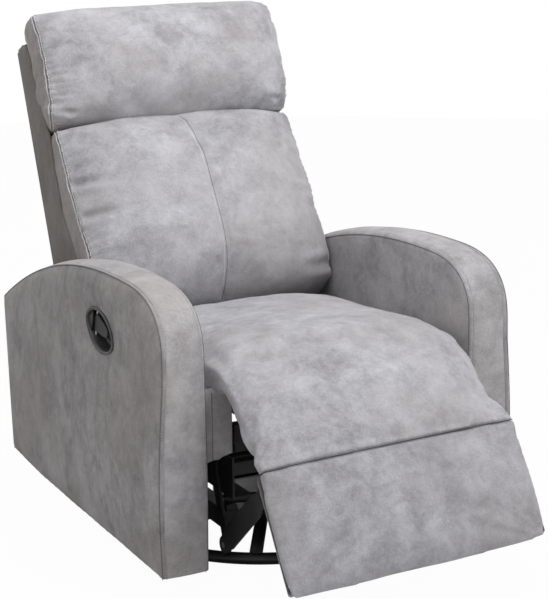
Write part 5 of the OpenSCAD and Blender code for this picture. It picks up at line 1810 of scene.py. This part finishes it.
@dataclass
class RailDress:
    """The seat's padded side rails and the cloth flaps between them and the seat cover."""

    inner: float = 0.240
    outer: float = 0.287
    top: float = 0.306
    height: float = 0.068
    front: float = FRONT_Y + 0.034
    rear: float = FRONT_Y + 0.539839
    corner: float = 0.022
    flap_top: float = 0.388
    flap_low: float = 0.345
    flap_wide: float = 0.0640
    flap_lead: float = 0.0035
    flap_t: float = 0.015
    flap_run: float = 0.42

    # Distances of a flap's sections from its front, and how far each is drawn in
    FLAP_STEPS = ((0.0, 0.0075), (0.0012, 0.0042), (0.004, 0.0016), (0.009, 0.0), (0.025, 0.0), (0.045, 0.0),
                  (0.065, 0.0), (0.10, 0.0), (0.16, 0.0005), (0.24, 0.0), (0.34, 0.0))
    # Distances of a rail's sections from its inner face, and how far each is drawn in
    RAIL_STEPS = ((0.0, 0.006), (0.0015, 0.0025), (0.005, 0.0003), (0.012, 0.0), (0.0225, 0.0012),
                  (0.0245, 0.0012), (0.035, 0.0), (0.042, 0.0003), (0.0455, 0.0025), (0.047, 0.006))

    def outline(self, inset: float) -> list[Pair]:
        """Return the rail's side outline, smaller by an inset."""
        low = self.top - self.height
        points = [(self.rear - inset, self.top - inset), (self.front + inset, self.top - inset)]
        for i in range(9):
            a = math.radians(180 + 90 * i / 8)
            r = self.corner - inset
            points.append((self.front + self.corner + r * math.cos(a), low + self.corner + r * math.sin(a)))
        points.append((self.rear - inset, low + inset))
        return points

    def flap(self, sign: int) -> bpy.types.Object:
        """Build one flap: a padded front before the rail that thins out beside the cushion."""
        rings = []
        edge_x = self.outer - 0.0022
        for step, tight in (*self.FLAP_STEPS, (self.flap_run, 0.002)):
            y, ring = self.front - self.flap_lead + step, []
            top = mix(self.flap_top, self.flap_low, smooth(step / 0.085))
            low = mix(self.top - self.height + 0.0005, self.top - 0.030, smooth((step - 0.012) / 0.03))
            wide = mix(self.flap_wide, self.flap_t, smooth((step - 0.012) / 0.035))
            for i in range(15):
                z = mix(low + tight, top - tight, i / 14)
                swell = 0.0018 * math.sin(math.pi * i / 14) + 0.0012 * noise.noise(Vector((y * 30, z * 34, sign)))
                ring.append((sign * (edge_x - tight * 0.8 - 0.0012 + swell), y - swell, z))
            inside = sign * (edge_x - wide + tight)
            rings.append(ring + [(inside, y, mix(top - tight, low + tight + 0.014, t)) for t in shares(14)])
        return loft("seat_side_flap", rings)

    def build(self, kit: Upholsterer) -> None:
        """Build both rails with soft edges and a dark line of painted shade down the seam at their fronts."""
        rails = []
        for sign in (-1, 1):
            rails += [loft("seat_rail_wrap", [[(sign * (self.inner + x), y, z) for y, z in self.outline(inset)]
                                              for x, inset in self.RAIL_STEPS]), self.flap(sign)]
        wraps = join("seat_rail_wraps", rails)
        paint(wraps, PALETTE.suede_band)
        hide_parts("side_rails")
        # Dark cords down the rails' fronts: painted shade for the shadow in the seams.
        line = [[Vector((sign * (self.outer - 0.021), self.front - self.flap_lead - 0.0006, mix(0.246, 0.380, t)))
                 for t in shares(40)] for sign in (-1, 1)]
        cord = kit.welts.run("seat_rail_seam_shades", line, PALETTE.shade_cord_mid, Thickness=0.0008)
        fit_out("seat", (wraps, cord))


@dataclass
class HandleDress:
    """The release handle: a leaf-shaped bezel with its cup, and the paddle inside it."""

    centre: Pair = (FRONT_Y + HANDLE_BACK, HANDLE_UP)
    length: float = 0.148
    height: float = 0.088
    tilt: float = HANDLE_TILT
    face: float = 0.3827
    flare: float = 1.285

    # Depth of each section of the bezel under the arm's face, and how far it is smaller than the whole leaf:
    # over the rim and down the cup, and back up behind the cup
    FRONT = ((0.0, 0.0005, 0.0005), (-0.0016, 0.0, 0.0), (-0.0028, 0.0012, 0.001), (-0.0034, 0.004, 0.0038),
             (-0.0030, 0.0075, 0.007), (-0.0014, 0.0088, 0.0082), (0.006, 0.0094, 0.0088), (0.021, 0.011, 0.0104),
             (0.0235, 0.014, 0.013), (0.0240, 0.022, 0.020))
    BACK = ((0.0262, 0.022, 0.020), (0.0258, 0.011, 0.0104), (0.0235, 0.0082, 0.0076), (-0.0001, 0.0074, 0.0070))
    # Depth of each section of the paddle, and how far it is drawn in
    PADDLE = ((0.0110, 0.0012), (0.0102, 0.0), (0.0070, 0.0), (0.0060, 0.0012), (0.0060, 0.0030), (0.0068, 0.0042),
              (0.0074, 0.0100))
    # Place of the paddle's tip and root along the bezel, and half its width at the root
    TIP, ROOT, HALF = -0.0213, 0.0383, 0.0193
    # Middle of the hinge barrel under the arm's face, its radius and half its length
    BARREL = (0.0088, 0.0036, 0.0180)

    def place(self, depth: float, y: float, z: float) -> Vector:
        """Return the point at a depth inside the arm's outer face, in the bezel's own plane."""
        a = math.radians(self.tilt)
        yy, zz = y * math.cos(a) - z * math.sin(a), y * math.sin(a) + z * math.cos(a)
        return Vector((-(self.face - zz * math.tan(math.radians(self.flare)) - depth),
                       self.centre[0] + yy, self.centre[1] + zz))

    def leaf(self, scale_y: float, scale_z: float, count: int = 64) -> list[Pair]:
        """Return a leaf outline: an oval drawn to soft points at its ends."""
        points = []
        for i in range(count):
            a = 2 * math.pi * i / count
            c, s = math.cos(a), math.sin(a)
            points.append((scale_y * math.copysign(abs(c) ** 0.96, c), scale_z * math.copysign(abs(s) ** 1.22, s)))
        return points

    def section(self, depth: float, less_y: float, less_z: float) -> list[Vector]:
        """Return the leaf at a depth, smaller than the whole one along and across."""
        return [self.place(depth, y, z) for y, z in self.leaf(self.length / 2 - less_y, self.height / 2 - less_z)]

    def build(self) -> None:
        """Build the bezel, its cup and the paddle."""
        bezel = loft("handle_bezel_moulding", [self.section(*row) for row in self.FRONT + self.BACK], True)
        floor = loft("handle_cup_floor", [self.section(depth, 0.021, 0.019) for depth in (0.0238, 0.0262)])
        shell = join("handle_bezel_moulding", [bezel, floor, self.hood()])
        paddle = self.paddle()
        for piece, finish, node, body in ((shell, PALETTE.moulding, "handle_bezel", "chassis"),
                                          (paddle, PALETTE.paddle, "release_lever", "release_lever_body")):
            paint(piece, finish)
            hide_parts(node)
            fit_out(body, [piece])
        log.info("handle: %d faces", len(shell.data.polygons))

    def hood(self) -> bpy.types.Object:
        """Build the smooth hood that closes the cup behind the paddle's hinge."""
        l, h = self.length / 2, self.height / 2
        rim = [p for p in self.leaf(l - 0.0090, h - 0.0084, 96) if p[0] > 0.046]
        rim.sort(key=lambda p: p[1])
        rings = []
        for depth in (0.001, 0.0035):
            rings.append([self.place(depth + 0.002 * (0.06 - p[0]) / 0.06, p[0], p[1]) for p in rim])
        return loft("handle_hood", rings)

    def paddle(self) -> bpy.types.Object:
        """Build the paddle with its rounded tip, raised rim and hinge barrel."""
        root, half, slim = self.ROOT, self.HALF, self.HALF - 0.006
        bend, middle = self.TIP + 0.014, (self.ROOT + self.TIP) / 2
        outline = []
        for i in range(13):
            a = math.radians(90 + 180 * i / 12)
            outline.append((bend + 0.014 * math.cos(a), slim * math.sin(a) * 0.92))
        outline += [(mix(bend, root, t), -mix(slim, half, t)) for t in shares(6)[1:]]
        outline += [(mix(root, bend, t), mix(half, slim, t)) for t in shares(6)[:-1]]
        plate = loft("release_paddle", [[
            self.place(depth, middle + (y - middle) * (1 - shrink / 0.03), z * (1 - shrink / half))
            for y, z in outline] for depth, shrink in self.PADDLE])
        deep, r, reach = self.BARREL
        turns = [2 * math.pi * k / 20 for k in range(20)]
        barrel = loft("release_barrel", [[self.place(deep + r * math.sin(a), root + r * math.cos(a), z)
                                          for a in turns] for z in (-reach, reach)])
        return join("release_paddle", [plate, barrel])


class HardParts:
    """Finishes of the CAD's own rigid pieces."""

    FINISH_OF = {
        "black_steel": PALETTE.black_steel, "grey_steel": PALETTE.grey_steel, "plated_steel": PALETTE.plated,
        "spring_steel": PALETTE.spring, "timber": PALETTE.ply, "base_board": PALETTE.board,
        "handle_plastic": PALETTE.moulding, "glide_plastic": PALETTE.nylon, "cable_sheath": PALETTE.sheath,
        # The edge nodes get the darker copy of the microfibre, which paints in shade.
        "webbing": PALETTE.webbing, "upholstery": PALETTE.suede, "upholstery_edge": PALETTE.suede_side_shaded,
    }

    def build(self) -> None:
        """Give each CAD node the finish of its slot."""
        for row in frame["record"]["subparts"]:
            node = frame["nodes"][row["node"]]
            material = FINISHES.of(self.FINISH_OF[row["material_slot"]])
            if not node.data.materials:
                node.data.materials.append(material)
            for i in range(len(node.material_slots)):
                node.material_slots[i].material = material


@dataclass
class RockerSprings:
    """The four coil springs, which give between the turntable's cups and the rocking chassis."""

    cup: float = 0.004

    def build(self) -> None:
        """Copy the wire of the springs, which runs from the lower cups to the upper ones, as a piece of its own."""
        mesh = frame["nodes"]["rocker_springs"].data.copy()
        mesh.materials.clear()
        shell = bmesh.new()
        shell.from_mesh(mesh)
        bmesh.ops.remove_doubles(shell, verts=shell.verts, dist=1e-6)
        shell.to_mesh(mesh)
        shell.free()
        coils = new_object("rocker_coils", mesh)
        paint(coils, PALETTE.spring)
        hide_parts("rocker_springs")
        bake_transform(coils)
        log.info("rocker_coils: %d faces", len(mesh.polygons))


@dataclass
class Studio:
    """Camera, lamps, floor and background."""

    eye: Triple = (-1.616165, -3.237645, 1.354004)
    yaw: float = 0.46984
    pitch: float = 0.24215
    roll: float = -0.0099
    focal_px: float = 1788.48
    tall_px: float = 599.0
    sensor: float = 36.0

    # Name, place, target, size and power of each lamp
    LAMPS = (("key_lamp", (1.8, -3.5, 3.0), (0, -0.1, 0.6), 2.2, 72.0),
             ("top_lamp", (-0.1, -0.5, 2.4), (0, 0.0, 0.5), 1.8, 28.0),
             ("left_lamp", (-3.4, -1.6, 1.8), (0, 0.0, 0.4), 2.4, 7.0),
             ("back_lamp", (0.6, 3.4, 2.4), (0, 0.2, 0.6), 2.4, 18.0))
    # Strength of the world's light on the object
    AMBIENT = 0.46

    def camera(self) -> None:
        """Set the camera where the photograph was taken."""
        d = Vector((math.sin(self.yaw) * math.cos(self.pitch), math.cos(self.yaw) * math.cos(self.pitch),
                    -math.sin(self.pitch)))
        r = Vector((math.cos(self.yaw), -math.sin(self.yaw), 0.0))
        u = r.cross(d)
        right = r * math.cos(self.roll) + u * math.sin(self.roll)
        upward = u * math.cos(self.roll) - r * math.sin(self.roll)
        lens = bpy.data.cameras.new("camera")
        lens.sensor_fit = "AUTO"
        lens.sensor_width = self.sensor
        lens.lens = self.focal_px * self.sensor / self.tall_px
        obj = bpy.data.objects.new("camera", lens)
        turn = Matrix((right, upward, -d)).transposed()
        obj.matrix_world = Matrix.Translation(Vector(self.eye)) @ turn.to_4x4()
        bpy.context.scene.collection.objects.link(obj)
        bpy.context.scene.camera = obj

    def lamp(self, name: str, place: Triple, target: Triple, size: float, power: float) -> None:
        """Add one soft area lamp aimed at a target."""
        light = bpy.data.lights.new(name, "AREA")
        light.shape = "DISK"
        light.size = size
        light.energy = power
        obj = bpy.data.objects.new(name, light)
        obj.location = place
        obj.rotation_euler = (Vector(target) - Vector(place)).to_track_quat("-Z", "Y").to_euler()
        bpy.context.scene.collection.objects.link(obj)

    def build(self) -> None:
        """Set up the whole studio."""
        self.camera()
        for row in self.LAMPS:
            self.lamp(*row)
        g = NodeGraph(bpy.data.worlds.new("studio"), "Background")
        rays = [g.add("ShaderNodeLightPath", output=ray) for ray in ("Is Camera Ray", "Is Glossy Ray")]
        seen = g.add("ShaderNodeMath", {"operation": "MAXIMUM"}, {0: rays[0], 1: rays[1]})
        level = g.add("ShaderNodeMapRange", {}, {"Value": seen, "To Min": self.AMBIENT, "To Max": 1.0})
        bpy.context.scene.world = g.finish(Color=(1, 1, 1, 1), Strength=level)
        self.floor()
        bpy.context.scene.view_settings.view_transform = "Standard"

    def floor(self) -> None:
        """Lay the pale floor."""
        g = NodeGraph(bpy.data.materials.new("pale_floor"))
        grain = g.cloud(3.0, 2.0, 0.5)
        tone = g.blend(grain, (0.72, 0.72, 0.72), (0.76, 0.76, 0.76))
        g.finish(Base_Color=tone, Roughness=0.9, Specular_IOR_Level=0.0)
        path = g.add("ShaderNodeLightPath", output="Is Camera Ray")
        glow = g.add("ShaderNodeEmission", {}, {"Color": (1, 1, 1, 1), "Strength": 1.0})
        mixed = g.add("ShaderNodeMixShader", {}, {0: path * 0.97, 1: Socket(g, g.shader.outputs[0]), 2: glow})
        g.feed(g.tree.nodes["Material Output"].inputs["Surface"], mixed)
        n = 24
        points = [(6.0 * math.cos(2 * math.pi * i / n), 6.0 * math.sin(2 * math.pi * i / n), -0.0005)
                  for i in range(n)]
        mesh = bpy.data.meshes.new("floor")
        mesh.from_pydata(points, [], [tuple(range(n))])
        floor = new_object("floor", mesh)
        floor.data.materials.append(g.owner)


def main() -> None:
    """Build the whole chair and its studio."""
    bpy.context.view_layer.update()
    Studio().build()
    HardParts().build()
    RockerSprings().build()
    kit = Upholsterer()
    for side, name in ((-1, "left"), (1, "right")):
        ArmDress(side, name).build(kit)
    SeatDress().build(kit)
    FootrestDress().build(kit)
    BackDress().build(kit)
    RailDress().build(kit)
    HandleDress().build()


if __name__ == "__main__":
    main()
